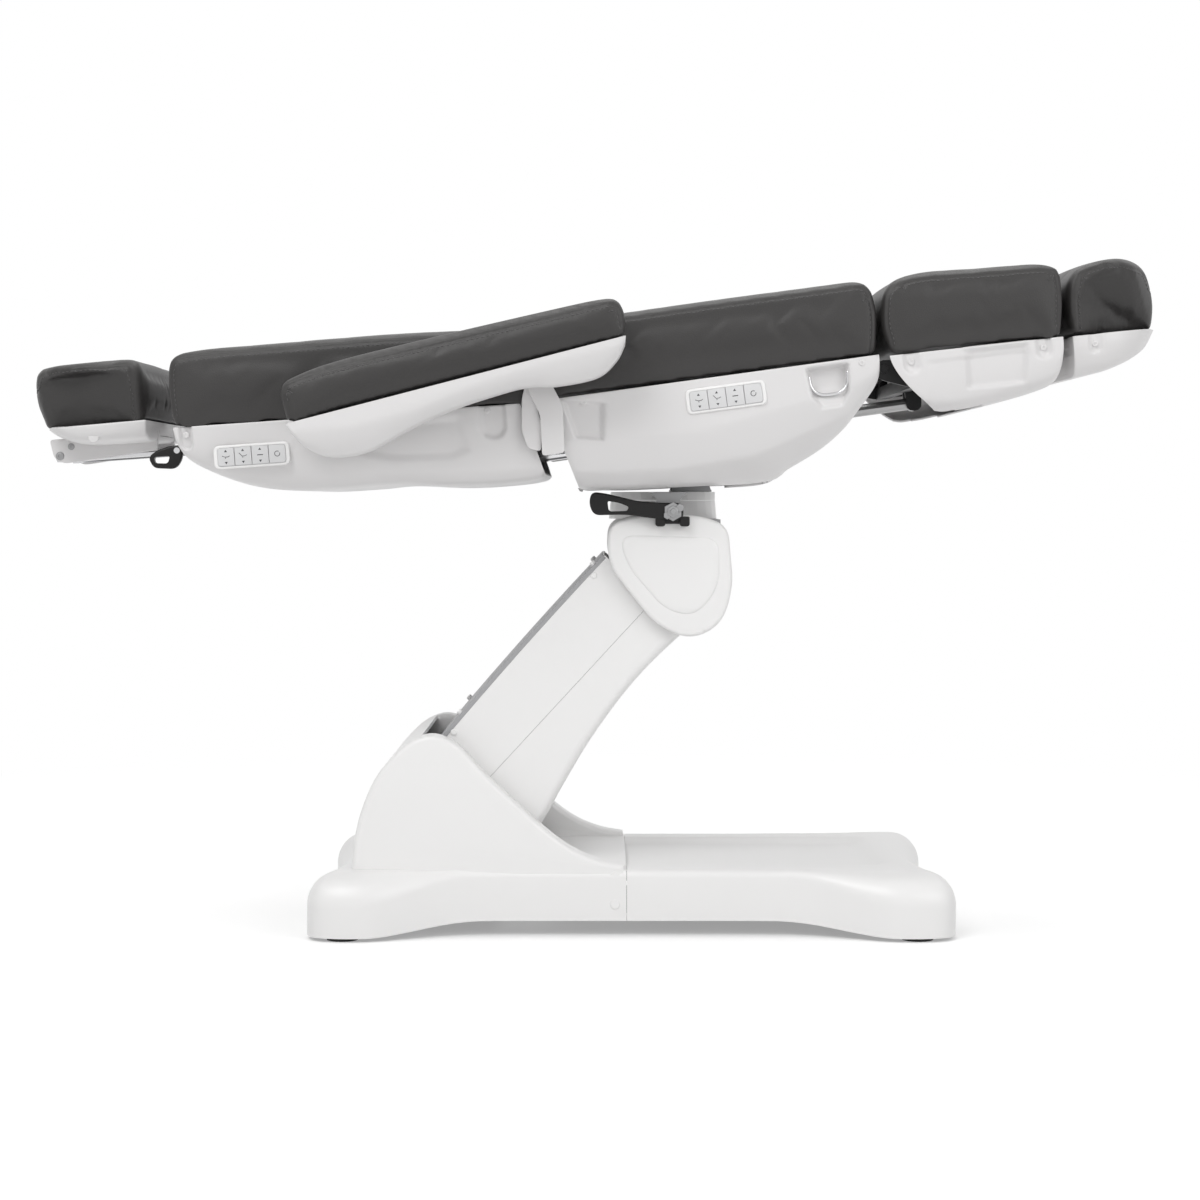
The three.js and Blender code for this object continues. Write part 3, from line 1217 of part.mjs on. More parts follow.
function seatShellSolid() {
  const body = tub({
    rows: rowsOf(seatRowShares, 0, seat.length, seatShell.depth, seatShell.halfWidth), rim: 0,
    steps: 12, thickness: wall.shell, openHead: true, lean: seatShell.lean,
  });
  const { head: toHead, foot: toFoot, halfWidth, low, high } = seatWindow;
  const window = block(tiltInSeat.x - toHead, tiltInSeat.x + toFoot, -halfWidth, halfWidth, low, high);
  const footEnd = seat.length + fit.overrun;
  const rodWay = block(
    rodWindow.x0, footEnd, -rodWindow.halfWidth, rodWindow.halfWidth, rodWindow.low, rodWindow.high,
  );
  const earSlots = bothSides((side) => {
    const centre = side * (legEar.inner + legEar.outer) * middle;
    return block(
      seat.length - legCrossBack, footEnd, centre - legEarSlot.halfWidth, centre + legEarSlot.halfWidth,
      legEarSlot.low, legEarSlot.high,
    );
  });
  const tubeWay = barY(
    seatTubeAt.x, seatTubeAt.z, backEar.tube + fit.running, -seatShell.halfWidth - fit.loose,
    seatShell.halfWidth + fit.loose, 12,
  );
  const walls = join(body, scoopWalls(1), scoopWalls(-1), padBlock(seatPad));
  return cut(walls, window, rodWay, earSlots, tubeWay, scoopHollow(1), scoopHollow(-1), padPocket(seatPad));
}

const seatWindow = { head: 152, foot: 82, halfWidth: 96, low: -200, high: -110 };
const rodWindow = { fromFoot: 142, halfWidth: 40, low: -190, high: -22 };
rodWindow.x0 = seat.length - rodWindow.fromFoot;
const legEarSlot = { halfWidth: 9, low: -60, high: -3 };

function seatCushion() {
  const leanHead = (z) => Math.max(0, z - hingeInSeat.z) * Math.tan(
    THREE.MathUtils.degToRad(backHinge.halfAngle),
  );
  return cushion({
    x0: hingeInSeat.x + backHinge.endGap, x1: seat.length + cushionBulge.foot, halfWidth: seat.halfWidth,
    thickness: seat.thickness, crown: seat.crown, round: seat.round, cornerHead: square, cornerFoot: square,
    leanHead, leanFoot: null, lift: fit.touch,
  });
}

const cushionBulge = { foot: 6 };
const square = [seat.corner, seat.corner];

// Back section, in the back frame: x runs from the hinge (0) to the head end (negative)

const backRowShares = [
  [-0.9913, -0.9913, 0.0488, 0.9902], [-0.9896, -0.9861, 0.2439, 0.9967], [-0.9826, -0.9653, 0.4065, 1],
  [-0.9583, -0.9201, 0.5528, 1], [-0.9028, -0.8403, 0.7317, 1], [-0.7986, -0.7604, 0.8455, 1],
  [-0.6597, -0.6528, 0.9106, 1], [-0.5174, -0.5174, 0.9187, 1], [-0.408, -0.408, 0.9106, 1],
  [-0.2604, -0.2431, 0.9919, 1], [-0.1215, -0.0955, 1, 1], [-0.066, -0.0139, 0.9675, 1],
  [-0.0469, 0.0069, 0.9106, 0.9967],
];
const armrestPivotInBack = { x: armrestPlace.pivotFromHead - back.length, z: armrestPlace.pivotZ };
const armrestPivot = {
  ...toWorld(backFrame, armrestPivotInBack.x, armrestPivotInBack.z), radius: 10, reach: armrest.inner + armrestPlace.pinReach,
};
const backRail = {
  low: -58, high: -40, fromHead: 56, crossRun: 36, post: 60, postFrom: -180, footX: -8, ramBarX: -56, ramBarRun: 36,
};
backRail.crossX = backRail.fromHead - back.length;
const headRail = {
  y: 60, halfWidth: 13, low: -34, high: -28, past: 230, insert: 246, guide: 6, guideRun: 90, slack: 0.4,
};
headRail.headX = -back.length - headRail.past;
headRail.footX = headRail.insert - back.length;
const headRod = { past: 16, z: -31, radius: 5, reach: 161 };
headRod.x = -back.length - headRod.past;
const headPivot = { x: -196, z: -42, radius: 6, lugInner: 74, lugOuter: 80 };
const headPlate = { behind: 15, below: 13, length: 181, height: 41 };
headPlate.x = headPivot.x - headPlate.behind;
headPlate.z = headPivot.z - headPlate.below;

function backFrameSolid() {
  const { y, halfWidth } = frameRail;
  const { low, high, crossX, crossRun, post, postFrom, footX, ramBarX, ramBarRun } = backRail;
  const rails = bothSides((side) => block(
    crossX, footX, side * y - halfWidth, side * y + halfWidth, low, high,
  ));
  const headCross = block(crossX, crossX + crossRun, -y, y, low, high);
  const guides = bothSides((side) => {
    const [y0, y1] = [
      side * headRail.y - headRail.halfWidth - headRail.guide,
      side * headRail.y + headRail.halfWidth + headRail.guide,
    ];
    return block(
      crossX, crossX + headRail.guideRun, y0, y1, high - fit.weld, headRail.high + headRail.guide,
    );
  });
  const ways = bothSides((side) => headRailBar(side, headRail.slack));
  const posts = bothSides((side) => join(
    block(crossX, crossX + crossRun, side * y - halfWidth, side * y + halfWidth, low, 0),
    block(postFrom, postFrom + post, side * y - halfWidth, side * y + halfWidth, low, 0),
  ));
  const reach = armrestPivot.reach;
  const armTube = barY(armrestPivotInBack.x, armrestPivotInBack.z, armrestPivot.radius, -reach, reach, 16);
  const hingeTubes = bothSides((side) => sideBar(backTubeAt, backEar.tube, side, y, backEar.outer));
  const ears = hingeEars(backTubeAt, hingeInBack, backEar.inner, backEar.outer);
  const ramBar = block(ramBarX - ramBarRun, ramBarX, -y, y, -frameRail.bar, 0);
  const ramPosts = bothSides((side) => block(
    ramBarX - ramBarRun, ramBarX, side * y - halfWidth, side * y + halfWidth, low, 0,
  ));
  const eye = backRam.eye;
  const lugShape = outline([
    [ramBarX - ramBarRun, 0, 0], [backRamFoot.x - eye, backRamFoot.z - eye, eye],
    [backRamFoot.x + eye, backRamFoot.z - eye, eye], [
      backRamFoot.x + eye * middle, backRamFoot.z + eye, eye,
    ],
    [ramBarX, 0, 0],
  ], 3);
  const [lugInner, lugOuter] = [ring.half + fit.running, ring.half + backEar.tube];
  const lugs = join(
    plate(lugShape, backRam.y + lugInner, backRam.y + lugOuter), plate(
      lugShape, backRam.y - lugOuter, backRam.y - lugInner,
    ),
  );
  const lugPin = barY(
    backRamFoot.x, backRamFoot.z, pins.small.radius, backRam.y - lugOuter, backRam.y + lugOuter, 12,
  );
  const bore = boreAt(hingeInBack, pins.small, -backEar.outer - fit.weld, backEar.outer + fit.weld);
  return cut(
    join(rails, headCross, guides, posts, armTube, hingeTubes, ears, ramBar, ramPosts, lugs, lugPin), ways, bore,
  );
}

function headRailBar(side, slack) {
  const { y, halfWidth, low, high, headX, footX } = headRail;
  return block(
    headX, footX, side * y - halfWidth - slack, side * y + halfWidth + slack, low - slack, high + slack,
  );
}

function backShellSolid() {
  const body = tub({
    rows: rowsOf(backRowShares, 0, back.length, back.depth, seatShell.halfWidth), rim: 0, steps: 12,
    thickness: wall.shell, openFoot: true,
  });
  const bores = barY(
    armrestPivotInBack.x, armrestPivotInBack.z, armrestPivot.radius + fit.touch, -armrest.inner,
    armrest.inner, 16,
  );
  const { y, halfWidth, low, high, slack } = headRail;
  const reach = y + halfWidth + slack * 2;
  const railWay = block(
    -back.length - fit.overrun, backRail.crossX, -reach, reach, low - slack * 2, high + slack * 2,
  );
  const tubeWay = barY(
    backTubeAt.x, backTubeAt.z, backEar.tube + fit.running, -seatShell.halfWidth - fit.loose,
    seatShell.halfWidth + fit.loose, 12,
  );
  return cut(join(body, padBlock(backPad)), bores, railWay, tubeWay, padPocket(backPad));
}

function backCushion() {
  const lean = (z) => Math.max(0, z - hingeInBack.z) * Math.tan(
    THREE.MathUtils.degToRad(backHinge.halfAngle),
  );
  return cushion({
    x0: -back.length, x1: hingeInBack.x - backHinge.endGap, halfWidth: seat.halfWidth, thickness: back.thickness,
    crown: back.crown, round: back.round, cornerHead: square, cornerFoot: square, leanHead: null,
    leanFoot: lean, lift: fit.touch,
  });
}

// Headrest: rails in the back frame, section in the head frame

const headRowShares = [
  [-0.968, -0.9361, 0.2105, 0.3158], [-0.9498, -0.8676, 0.5263, 0.6842],
  [-0.8676, -0.7534, 0.8421, 0.8842], [-0.6849, -0.6393, 0.9737, 0.9684], [-0.411, -0.411, 1, 0.9842],
  [-0.2283, -0.2283, 0.9737, 0.9842], [-0.1553, -0.1644, 0.9474, 0.9842],
  [-0.137, -0.1461, 0.7895, 0.9789],
];
const headPlateShares = [
  [0, 1, 0.1463], [0.0276, 0.2195, 0.2439], [0.116, 0, 0.1951], [0.9779, 0.2195, 0.0976], [1, 1, 0],
];

// The rails end in lugs that carry the headrest's pivot.
function headRailsSolid() {
  const pivot = toLocal(backFrame, ...Object.values(toWorld(headFrame, headPivot.x, headPivot.z)));
  const { y, halfWidth, low, high, headX } = headRail;
  const bars = bothSides((side) => headRailBar(side, 0));
  const lugs = bothSides((side) => sidePlate(outline([
    [headX, low, 0], [pivot.x - headPivot.radius * 2, pivot.z + headPivot.radius, headPivot.radius],
    [pivot.x + headPivot.radius * 2, pivot.z + headPivot.radius, headPivot.radius], [
      pivot.x + halfWidth * 2, low, 0,
    ],
  ]), side, y - halfWidth, y + halfWidth));
  const pivotBar = barY(pivot.x, pivot.z, headPivot.radius, -headPivot.lugOuter, headPivot.lugOuter, 12);
  const rod = barY(headRod.x, headRod.z, headRod.radius, -headRod.reach, y + halfWidth, 12);
  return join(bars, lugs, pivotBar, rod);
}

const headLever = { inner: 147, outer: 160, x: -48, z: -30, length: 58, height: 39 };
const headLeverShares = [
  [1, 0.9744, 0.2051], [0.9655, 0.4103, 0.3077], [0.7586, 0, 0.2564], [0.1379, 0.1026, 0.2051],
  [0, 0.5641, 0.2564], [0.2414, 0.8205, 0.2051], [0.6897, 1, 0.2051],
];
const headSlotShares = [
  [0.6207, 0.5641, 0.1026], [0.5517, 0.2564, 0.1282], [0.1724, 0.3077, 0.1538],
  [0.1724, 0.5641, 0.1538],
];

// The lever that locks the headrest, its hinge at the origin.
function headLeverSolid() {
  const { inner, outer } = headLever;
  const body = easedPlate(outline(cornersOf(headLeverShares, headLever), 2), -outer, -inner, fit.loose);
  const slot = plate(
    outline(cornersOf(headSlotShares, headLever), 2), -outer - fit.overrun, -inner + fit.overrun,
  );
  return cut(body, slot, barY(0, 0, headRod.radius + fit.touch, -outer - fit.weld, -inner + fit.weld, 12));
}

function headCushionSolid() {
  return cushion({
    x0: -head.length, x1: -head.endGap, halfWidth: head.halfWidth, thickness: head.thickness, crown: head.crown,
    round: head.round, cornerHead: head.corner, cornerFoot: square, leanHead: null, leanFoot: null, lift: fit.touch,
  });
}

function headShellSolid() {
  const body = tub({
    rows: rowsOf(headRowShares, 0, head.length, head.depth, head.halfWidth), rim: 0, steps: 7,
    thickness: wall.shell,
  });
  const plates = bothSides(
    (side) => sidePlate(
      outline(cornersOf(headPlateShares, headPlate), 3), side, headPivot.lugInner, headPivot.lugOuter,
    ),
  );
  const bore = barY(
    headPivot.x, headPivot.z, headPivot.radius + fit.touch, -headPivot.lugOuter - fit.weld,
    headPivot.lugOuter + fit.weld, 12,
  );
  return join(body, plates).subtract(bore);
}

// Leg and foot sections, in the leg frame

const legRowShares = [
  [0.0144, 0.2671, 0.9697, 0.9967], [0.0578, 0.3177, 1, 1], [0.2166, 0.3791, 0.9899, 1],
  [0.4332, 0.4693, 0.9697, 1], [0.6498, 0.6498, 0.899, 1], [0.8123, 0.8123, 0.8182, 1],
  [0.9458, 0.9242, 0.7273, 1], [0.9892, 0.9675, 0.5859, 1], [0.9964, 0.9964, 0.303, 0.9967],
];
const footRowShares = [
  [0.0179, 0.0179, 0.9231, 0.9856], [0.0298, 0.0357, 1, 0.9928], [0.1548, 0.1548, 0.9538, 0.9928],
  [0.3333, 0.3333, 0.8923, 0.9928], [0.5119, 0.5, 0.7692, 0.9711], [0.7024, 0.6548, 0.6154, 0.8917],
  [0.8452, 0.7857, 0.4308, 0.7509], [0.9286, 0.869, 0.2154, 0.5776], [0.9524, 0.9167, 0.1077, 0.3827],
];
const legRail = { y: 180, halfWidth: 12, low: -34, high: -14, x0: 40, cross: 24, crossEnd: 262, post: 14 };
const footRail = {
  y: 120, halfWidth: 10, low: -10, high: 0, x0: 120, x1: 404, guide: 6, guideRun: 66, slack: 0.4,
  tie: 30,
};

function legFrameSolid() {
  const { y, halfWidth, low, high, x0, cross, crossEnd, post } = legRail;
  const top = leg.board;
  const rails = bothSides(
    (side) => block(x0, crossEnd, side * y - halfWidth, side * y + halfWidth, low, high),
  );
  const hingeCross = block(x0, x0 + cross, -legLug.outer, legLug.outer, low, high);
  const footCross = block(crossEnd - cross, crossEnd, -y, y, low, high);
  const posts = bothSides((side) => join(
    block(x0, x0 + post, side * y - halfWidth, side * y + halfWidth, low, top),
    block(crossEnd - post, crossEnd, side * y - halfWidth, side * y + halfWidth, low, top),
  ));
  const r = legEar.radius;
  const ears = bothSides((side) => sidePlate(outline([
    [-r, -r, r], [-r, r, r], [r, r, r], [x0 + cross, high, 0], [x0 + cross, low, 0], [x0, low, r],
  ], 3), side, legLug.inner, legLug.outer));
  const lugs = lugPair(legRamEye, high, legRam.eye, ring.half + fit.running, ring.half + backEar.tube);
  const lugRoot = block(
    x0 + cross - fit.weld, legRamEye.x + legRam.eye, -legRam.eye * 2, legRam.eye * 2, high - fit.overrun, high,
  );
  const lugPin = pinAt(legRamEye, pins.small, -ring.half - backEar.tube, ring.half + backEar.tube);
  const guides = bothSides((side) => block(
    crossEnd - footRail.guideRun, crossEnd, side * footRail.y - footRail.halfWidth - footRail.guide,
    side * footRail.y + footRail.halfWidth + footRail.guide, high - fit.weld, footRail.high + footRail.guide,
  ));
  const ways = bothSides((side) => footRailBar(side, footRail.slack));
  const bore = boreAt({ x: 0, z: 0 }, pins.small, -legLug.outer - fit.weld, legLug.outer + fit.weld);
  return cut(join(rails, hingeCross, footCross, posts, ears, lugs, lugRoot, lugPin, guides), ways, bore);
}

function footRailBar(side, slack) {
  const { y, halfWidth, low, high, x0, x1 } = footRail;
  return block(
    x0, x1, side * y - halfWidth - slack, side * y + halfWidth + slack, low - slack, high + slack,
  );
}

function footRailsSolid() {
  const { y, halfWidth, high, x1, tie: run } = footRail;
  const bars = bothSides((side) => footRailBar(side, 0));
  const cross = block(x1 - run, x1, -y, y, footRail.low, high);
  const posts = bothSides(
    (side) => block(x1 - run, x1, side * y - halfWidth, side * y + halfWidth, high, leg.board),
  );
  return join(bars, cross, posts);
}

const railWays = (grow, x0, x1) => bothSides((side) => {
  const { y, halfWidth, low, high } = footRail;
  return block(x0, x1, side * y - halfWidth - grow, side * y + halfWidth + grow, low - grow, high + grow);
});

function legShellSolid() {
  const body = tub({
    rows: rowsOf(legRowShares, 0, leg.end, leg.depth, seatShell.halfWidth), rim: leg.board, steps: 9,
    thickness: wall.shell, openHead: true, lean: legShell.lean,
  });
  const { halfWidth, reach } = legRodSlot;
  const rodSlot = block(0, legRamEye.x + reach, -halfWidth, halfWidth, leg.board - leg.depth - fit.overrun, legRail.low);
  return cut(body, railWays(footRail.slack * 2, legRail.crossEnd, leg.end + fit.loose), rodSlot);
}

// The notch that the rod swings through as the leg section drops.
const legRodSlot = { halfWidth: 22, reach: 24 };

function footShellSolid() {
  const body = tub({
    rows: rowsOf(footRowShares, foot.start, foot.end, foot.depth, foot.halfWidth), rim: leg.board,
    steps: 8, thickness: wall.shell,
  });
  return body.subtract(railWays(fit.touch, foot.start, footRail.x1 - footRail.tie));
}

function legCushionSolid() {
  return cushion({
    x0: leg.start, x1: leg.end, halfWidth: seat.halfWidth, thickness: leg.thickness, crown: leg.crown, round: leg.round,
    cornerHead: square, cornerFoot: square, leanHead: null, leanFoot: null, lift: leg.board + fit.touch,
  });
}

function footCushionSolid() {
  return cushion({
    x0: foot.start, x1: foot.end, halfWidth: foot.halfWidth, thickness: foot.thickness, crown: foot.crown,
    round: foot.round, cornerHead: square, cornerFoot: foot.corner, leanHead: null, leanFoot: null,
    lift: leg.board + fit.touch,
  });
}

// Armrests, in the armrest frame

const armrestRowShares = [
  [0.0019, 0.0075, 0.1143, 0.8], [0.0056, 0.0299, 0.5143, 0.94], [0.0224, 0.0765, 0.8429, 0.96],
  [0.0933, 0.1343, 0.9857, 0.96], [0.2164, 0.2164, 1, 0.96], [0.3414, 0.3414, 0.7571, 0.96],
  [0.4646, 0.4646, 0.5857, 0.96], [0.6119, 0.6119, 0.5143, 0.96], [0.694, 0.694, 0.5286, 0.96],
  [0.7817, 0.7817, 0.6714, 0.96], [0.8974, 0.8918, 0.7, 0.96], [0.9701, 0.9552, 0.4571, 0.94],
  [0.9963, 0.9888, 0.1714, 0.84],
];
const armrestSectionShares = [[1, 0], [0.98, 0.45], [0.88, 0.8], [0.6, 1]];
const armrestPivotHere = toLocal(armrestFrame, armrestPivot.x, armrestPivot.z);

function armrestCushion(side) {
  const body = cushion({
    x0: 0, x1: armrest.length, halfWidth: armrest.width * middle, thickness: armrest.thickness, crown: armrest.crown,
    round: armrest.round, cornerHead: square, cornerFoot: square, leanHead: null, leanFoot: null, lift: fit.touch,
  });
  return body.translate(0, side * (armrest.inner + armrest.width * middle), 0);
}

function armrestShellSolid(side) {
  const centreY = side * (armrest.inner + armrest.width * middle);
  const body = tub({
    rows: rowsOf(armrestRowShares, 0, armrest.length, armrest.depth, armrest.width * middle), rim: 0, steps: 10,
    thickness: wall.shell, sectionShares: armrestSectionShares, centreY,
  });
  const reach = [side * (armrest.inner - fit.overrun), side * (armrestPivot.reach + fit.running)].sort(
    (a, b) => a - b,
  );
  return body.subtract(
    barY(armrestPivotHere.x, armrestPivotHere.z, armrestPivot.radius + fit.touch, ...reach, 16),
  );
}

// Assembly

const table = new THREE.Group();
const keys = (name, pad) => Array.from({ length: keyCount }, (_, i) => (
  meshOf(`${name}_key_${i + 1}`, keySolid(pad, i), keyPlastic)
));

table.add(
  meshOf("base_frame", baseFrameSolid(), steelBlack),
  meshOf("base_cover_head", baseCoverHead(), whiteShell),
  meshOf("base_cover_foot", baseCoverFoot(), whiteShell),
  meshOf("control_box", controlBox(), blackPlastic),
  meshOf("mains_inlet", mainsInlet(), blackPlastic),
  ...padPlaces().map((place, i) => meshOf(`levelling_foot_${i + 1}`, levellingFoot(place), blackPlastic)),
);

const liftRamFoot = toLocal(lift, actuatorFoot.x, actuatorFoot.z);
const liftRam = between(liftRamFoot, ram);
table.add(frameAt(
  lift.x, lift.z, lift.angle,
  meshOf("lift_arm", liftArmSolid(), steelBlack),
  meshOf("arm_cover_upper", armCoverUpper(), whiteShell),
  meshOf("arm_cover_lower", armCoverLower(), whiteShell),
  frameAt(
    liftRamFoot.x, liftRamFoot.z, liftRam.degrees,
    meshOf("lift_actuator_tube", liftRamTube(), steelGrey),
    meshOf("lift_actuator_rod", liftRamRod(liftRam.length), steelBright),
  ),
));
table.add(frameAt(lowerTie.x, lowerTie.z, lift.angle, meshOf("tie_link", tieLinkSolid(), steelBlack)));

table.add(
  meshOf("arm_head", armHeadCasting(), steelGrey),
  meshOf("head_cover_near", headCover(-1), whiteShell),
  meshOf("head_cover_far", headCover(1), whiteShell),
  meshOf("swivel_collar", swivelCollar(), whiteShell),
  meshOf(
    "swivel_plate", barZ(swivel.x, 0, swivel.radius, swivel.plateLow, swivel.plateHigh, 28), whiteShell,
  ),
  meshOf("tilt_bracket", tiltBracketSolid(), steelGrey),
  meshOf("lock_bracket", lockBracketSolid(), steelGrey),
  meshOf("lock_mount", lockMountSolid(), steelBlack),
  meshOf("lock_lever", lockLeverSolid(), blackPlastic),
);

const tiltRamLine = between(tiltRam, tiltLugInSeat);
table.add(frameAt(
  seat.x, seat.z, slope.seat,
  meshOf("seat_frame", seatFrameSolid(), steelBlack),
  meshOf("seat_shell", seatShellSolid(), whiteShell),
  meshOf("seat_cushion", seatCushion(), vinyl),
  ...keys("seat", seatPad),
  meshOf("strap_ring_near", strapRing(-1), steelBright),
  meshOf("strap_ring_far", strapRing(1), steelBright),
  frameAt(
    tiltRam.x, tiltRam.z, tiltRamLine.degrees,
    meshOf("tilt_actuator_tube", tiltRamTube(), steelGrey),
    meshOf("tilt_actuator_rod", tiltRamRod(tiltRamLine.length), steelBright),
  ),
));

const backRamSeat = toWorld(seatFrame, backRam.x, backRam.z);
const backRamLine = between(backRamFoot, toLocal(backFrame, backRamSeat.x, backRamSeat.z));
table.add(frameAt(
  seat.x, back.z, slope.back,
  meshOf("back_frame", backFrameSolid(), steelBlack),
  meshOf("back_shell", backShellSolid(), whiteShell),
  meshOf("back_cushion", backCushion(), vinyl),
  ...keys("back", backPad),
  meshOf("head_rails", headRailsSolid(), steelBlack),
  frameAt(headRod.x, headRod.z, 0, meshOf("head_lever", headLeverSolid(), blackPlastic)),
  frameAt(
    backRamFoot.x, backRamFoot.z, backRamLine.degrees,
    meshOf("back_actuator_rod", ringRamRod(backRam, backRam.y), steelBright),
    meshOf("back_actuator_tube", ringRamTube(backRam, backRamLine.length, backRam.y), steelGrey),
  ),
));

const legRamSeat = toWorld(seatFrame, legRam.x, legRam.z);
const legRamLine = between(legRamEye, toLocal(legFrame, legRamSeat.x, legRamSeat.z));
table.add(frameAt(
  legHingeAt.x, legHingeAt.z, slope.leg,
  meshOf("leg_frame", legFrameSolid(), steelBlack),
  meshOf("leg_shell", legShellSolid(), whiteShell),
  meshOf("leg_cushion", legCushionSolid(), vinyl),
  meshOf("foot_shell", footShellSolid(), whiteShell),
  meshOf("foot_cushion", footCushionSolid(), vinyl),
  meshOf("foot_rails", footRailsSolid(), steelBlack),
  frameAt(
    legRamEye.x, legRamEye.z, legRamLine.degrees,
    meshOf("leg_actuator_rod", ringRamRod(legRam, 0), steelBright),
    meshOf("leg_actuator_tube", ringRamTube(legRam, legRamLine.length, 0), steelGrey),
  ),
));

table.add(frameAt(
  headAt.x, headAt.z, slope.head,
  meshOf("head_shell", headShellSolid(), whiteShell),
  meshOf("head_cushion", headCushionSolid(), vinyl),
));

table.add(frameAt(
  armrest.x, armrest.z, slope.armrest,
  meshOf("armrest_near_shell", armrestShellSolid(-1), whiteShell),
  meshOf("armrest_near_cushion", armrestCushion(-1), vinyl),
  meshOf("armrest_far_shell", armrestShellSolid(1), whiteShell),
  meshOf("armrest_far_cushion", armrestCushion(1), vinyl),
));

export default table;
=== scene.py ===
"""Looks of an electric spa treatment table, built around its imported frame.

Lengths are millimetres in the functions that draw a piece, and metres in the finished meshes.
Each section of the table is drawn in its own slanted frame: x along the section, y across, z square to it.
"""

import math

import bmesh
import bpy
import numpy as np
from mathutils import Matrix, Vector
from mathutils.bvhtree import BVHTree
from mathutils.kdtree import KDTree


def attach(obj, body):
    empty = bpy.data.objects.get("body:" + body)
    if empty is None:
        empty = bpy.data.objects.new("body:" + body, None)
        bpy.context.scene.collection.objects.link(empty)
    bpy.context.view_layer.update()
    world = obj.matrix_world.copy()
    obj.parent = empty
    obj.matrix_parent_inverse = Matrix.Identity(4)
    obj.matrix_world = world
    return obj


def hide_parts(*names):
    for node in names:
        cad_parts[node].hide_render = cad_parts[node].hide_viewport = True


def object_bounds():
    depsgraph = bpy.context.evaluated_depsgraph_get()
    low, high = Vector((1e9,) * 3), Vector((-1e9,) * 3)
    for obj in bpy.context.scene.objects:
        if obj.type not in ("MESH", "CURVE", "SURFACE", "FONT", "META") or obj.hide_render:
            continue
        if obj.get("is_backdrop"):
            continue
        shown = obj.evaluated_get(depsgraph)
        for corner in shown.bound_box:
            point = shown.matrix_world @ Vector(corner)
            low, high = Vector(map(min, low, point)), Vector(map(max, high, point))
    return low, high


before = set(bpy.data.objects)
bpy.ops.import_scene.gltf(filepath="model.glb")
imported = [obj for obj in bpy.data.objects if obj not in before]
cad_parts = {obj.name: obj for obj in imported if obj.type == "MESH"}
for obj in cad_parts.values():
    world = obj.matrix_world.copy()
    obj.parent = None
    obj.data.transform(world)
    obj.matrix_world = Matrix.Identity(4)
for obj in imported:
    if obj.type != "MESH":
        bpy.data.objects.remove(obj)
cad_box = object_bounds()

MM = 0.001

# Slanted frames of the sections: [x, z, degrees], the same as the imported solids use
SEAT = (-98.0, 856.6, 7.75)
BACK = (-98.0, 855.0, 4.0)
LEG = (450.0, 910.0, 6.3)
HEAD = (-702.0, 834.0, 5.0)
ARMREST = (-478.0, 817.0, 14.5)
ARM = (-258.0, 194.0, 47.3)
LEVEL = (0.0, 0.0, 0.0)

BOTH_SIDES = ((-1, "near"), (1, "far"))
ASKEW = (0.13, 0.97, 0.2)  # a direction that no wire's start runs along


def placed(points, slope):
    """Points of a slanted frame in the scene's, in metres: a turn about y and a shift, for a whole array."""
    x0, z0, degrees = slope
    turn = math.radians(degrees)
    points = np.asarray(points, float)
    x, y, z = points[..., 0], points[..., 1], points[..., 2]
    return MM * np.stack([
        x0 + x * math.cos(turn) - z * math.sin(turn),
        y,
        z0 + x * math.sin(turn) + z * math.cos(turn),
    ], axis=-1)


# Meshes from arrays


def mesh_piece(name, vertices, faces, slope=LEVEL, sharp=None):
    """An object from vertices in a slanted frame and a list of faces."""
    mesh = bpy.data.meshes.new(name)
    mesh.from_pydata(placed(vertices, slope).reshape(-1, 3).tolist(), [], [list(map(int, f)) for f in faces])
    mesh.validate()
    piece = bpy.data.objects.new(name, mesh)
    bpy.context.scene.collection.objects.link(piece)
    return smoothed(piece, sharp)


def smoothed(piece, sharp=None):
    """Smooth shading, with edges over the given angle kept sharp."""
    piece.data.polygons.foreach_set("use_smooth", np.ones(len(piece.data.polygons), bool))
    if sharp is not None:
        piece.data.set_sharp_from_angle(angle=math.radians(sharp))
    piece.data.update()
    return piece


def grid_faces(rows, columns, wrap_rows=False, wrap_columns=False):
    """Quads between neighbouring points of a grid, as one array."""
    r = np.arange(rows if wrap_rows else rows - 1)
    c = np.arange(columns if wrap_columns else columns - 1)
    r, c = np.meshgrid(r, c, indexing="ij")
    r2, c2 = (r + 1) % rows, (c + 1) % columns
    corners = [r * columns + c, r2 * columns + c, r2 * columns + c2, r * columns + c2]
    return np.stack(corners, axis=-1).reshape(-1, 4)


def surface_piece(name, points, slope=LEVEL, wrap_rows=False, wrap_columns=False, capped=False, sharp=None):
    """A skin over a grid of points [rows, columns, 3]. A capped one has its first and last row closed."""
    rows, columns = points.shape[:2]
    faces = grid_faces(rows, columns, wrap_rows, wrap_columns).tolist()
    if capped:
        faces.append(list(range(columns)))
        faces.append([(rows - 1) * columns + i for i in reversed(range(columns))])
    piece = mesh_piece(name, points.reshape(-1, 3), faces, slope, sharp)
    return outward(piece) if capped else piece


def outward(piece):
    """Face directions recalculated to point out of a closed piece."""
    work = bmesh.new()
    work.from_mesh(piece.data)
    bmesh.ops.remove_doubles(work, verts=work.verts, dist=1e-6)
    bmesh.ops.recalc_face_normals(work, faces=work.faces)
    work.to_mesh(piece.data)
    work.free()
    return piece


def vertex_array(piece, field):
    """The places or normals of a piece's vertices as one array."""
    values = np.empty(len(piece.data.vertices) * 3)
    piece.data.vertices.foreach_get(field, values)
    return values.reshape(-1, 3)


def move_vertices(piece, points):
    """A piece's vertices put at the given points, in metres."""
    piece.data.vertices.foreach_set("co", points.ravel())
    piece.data.update()


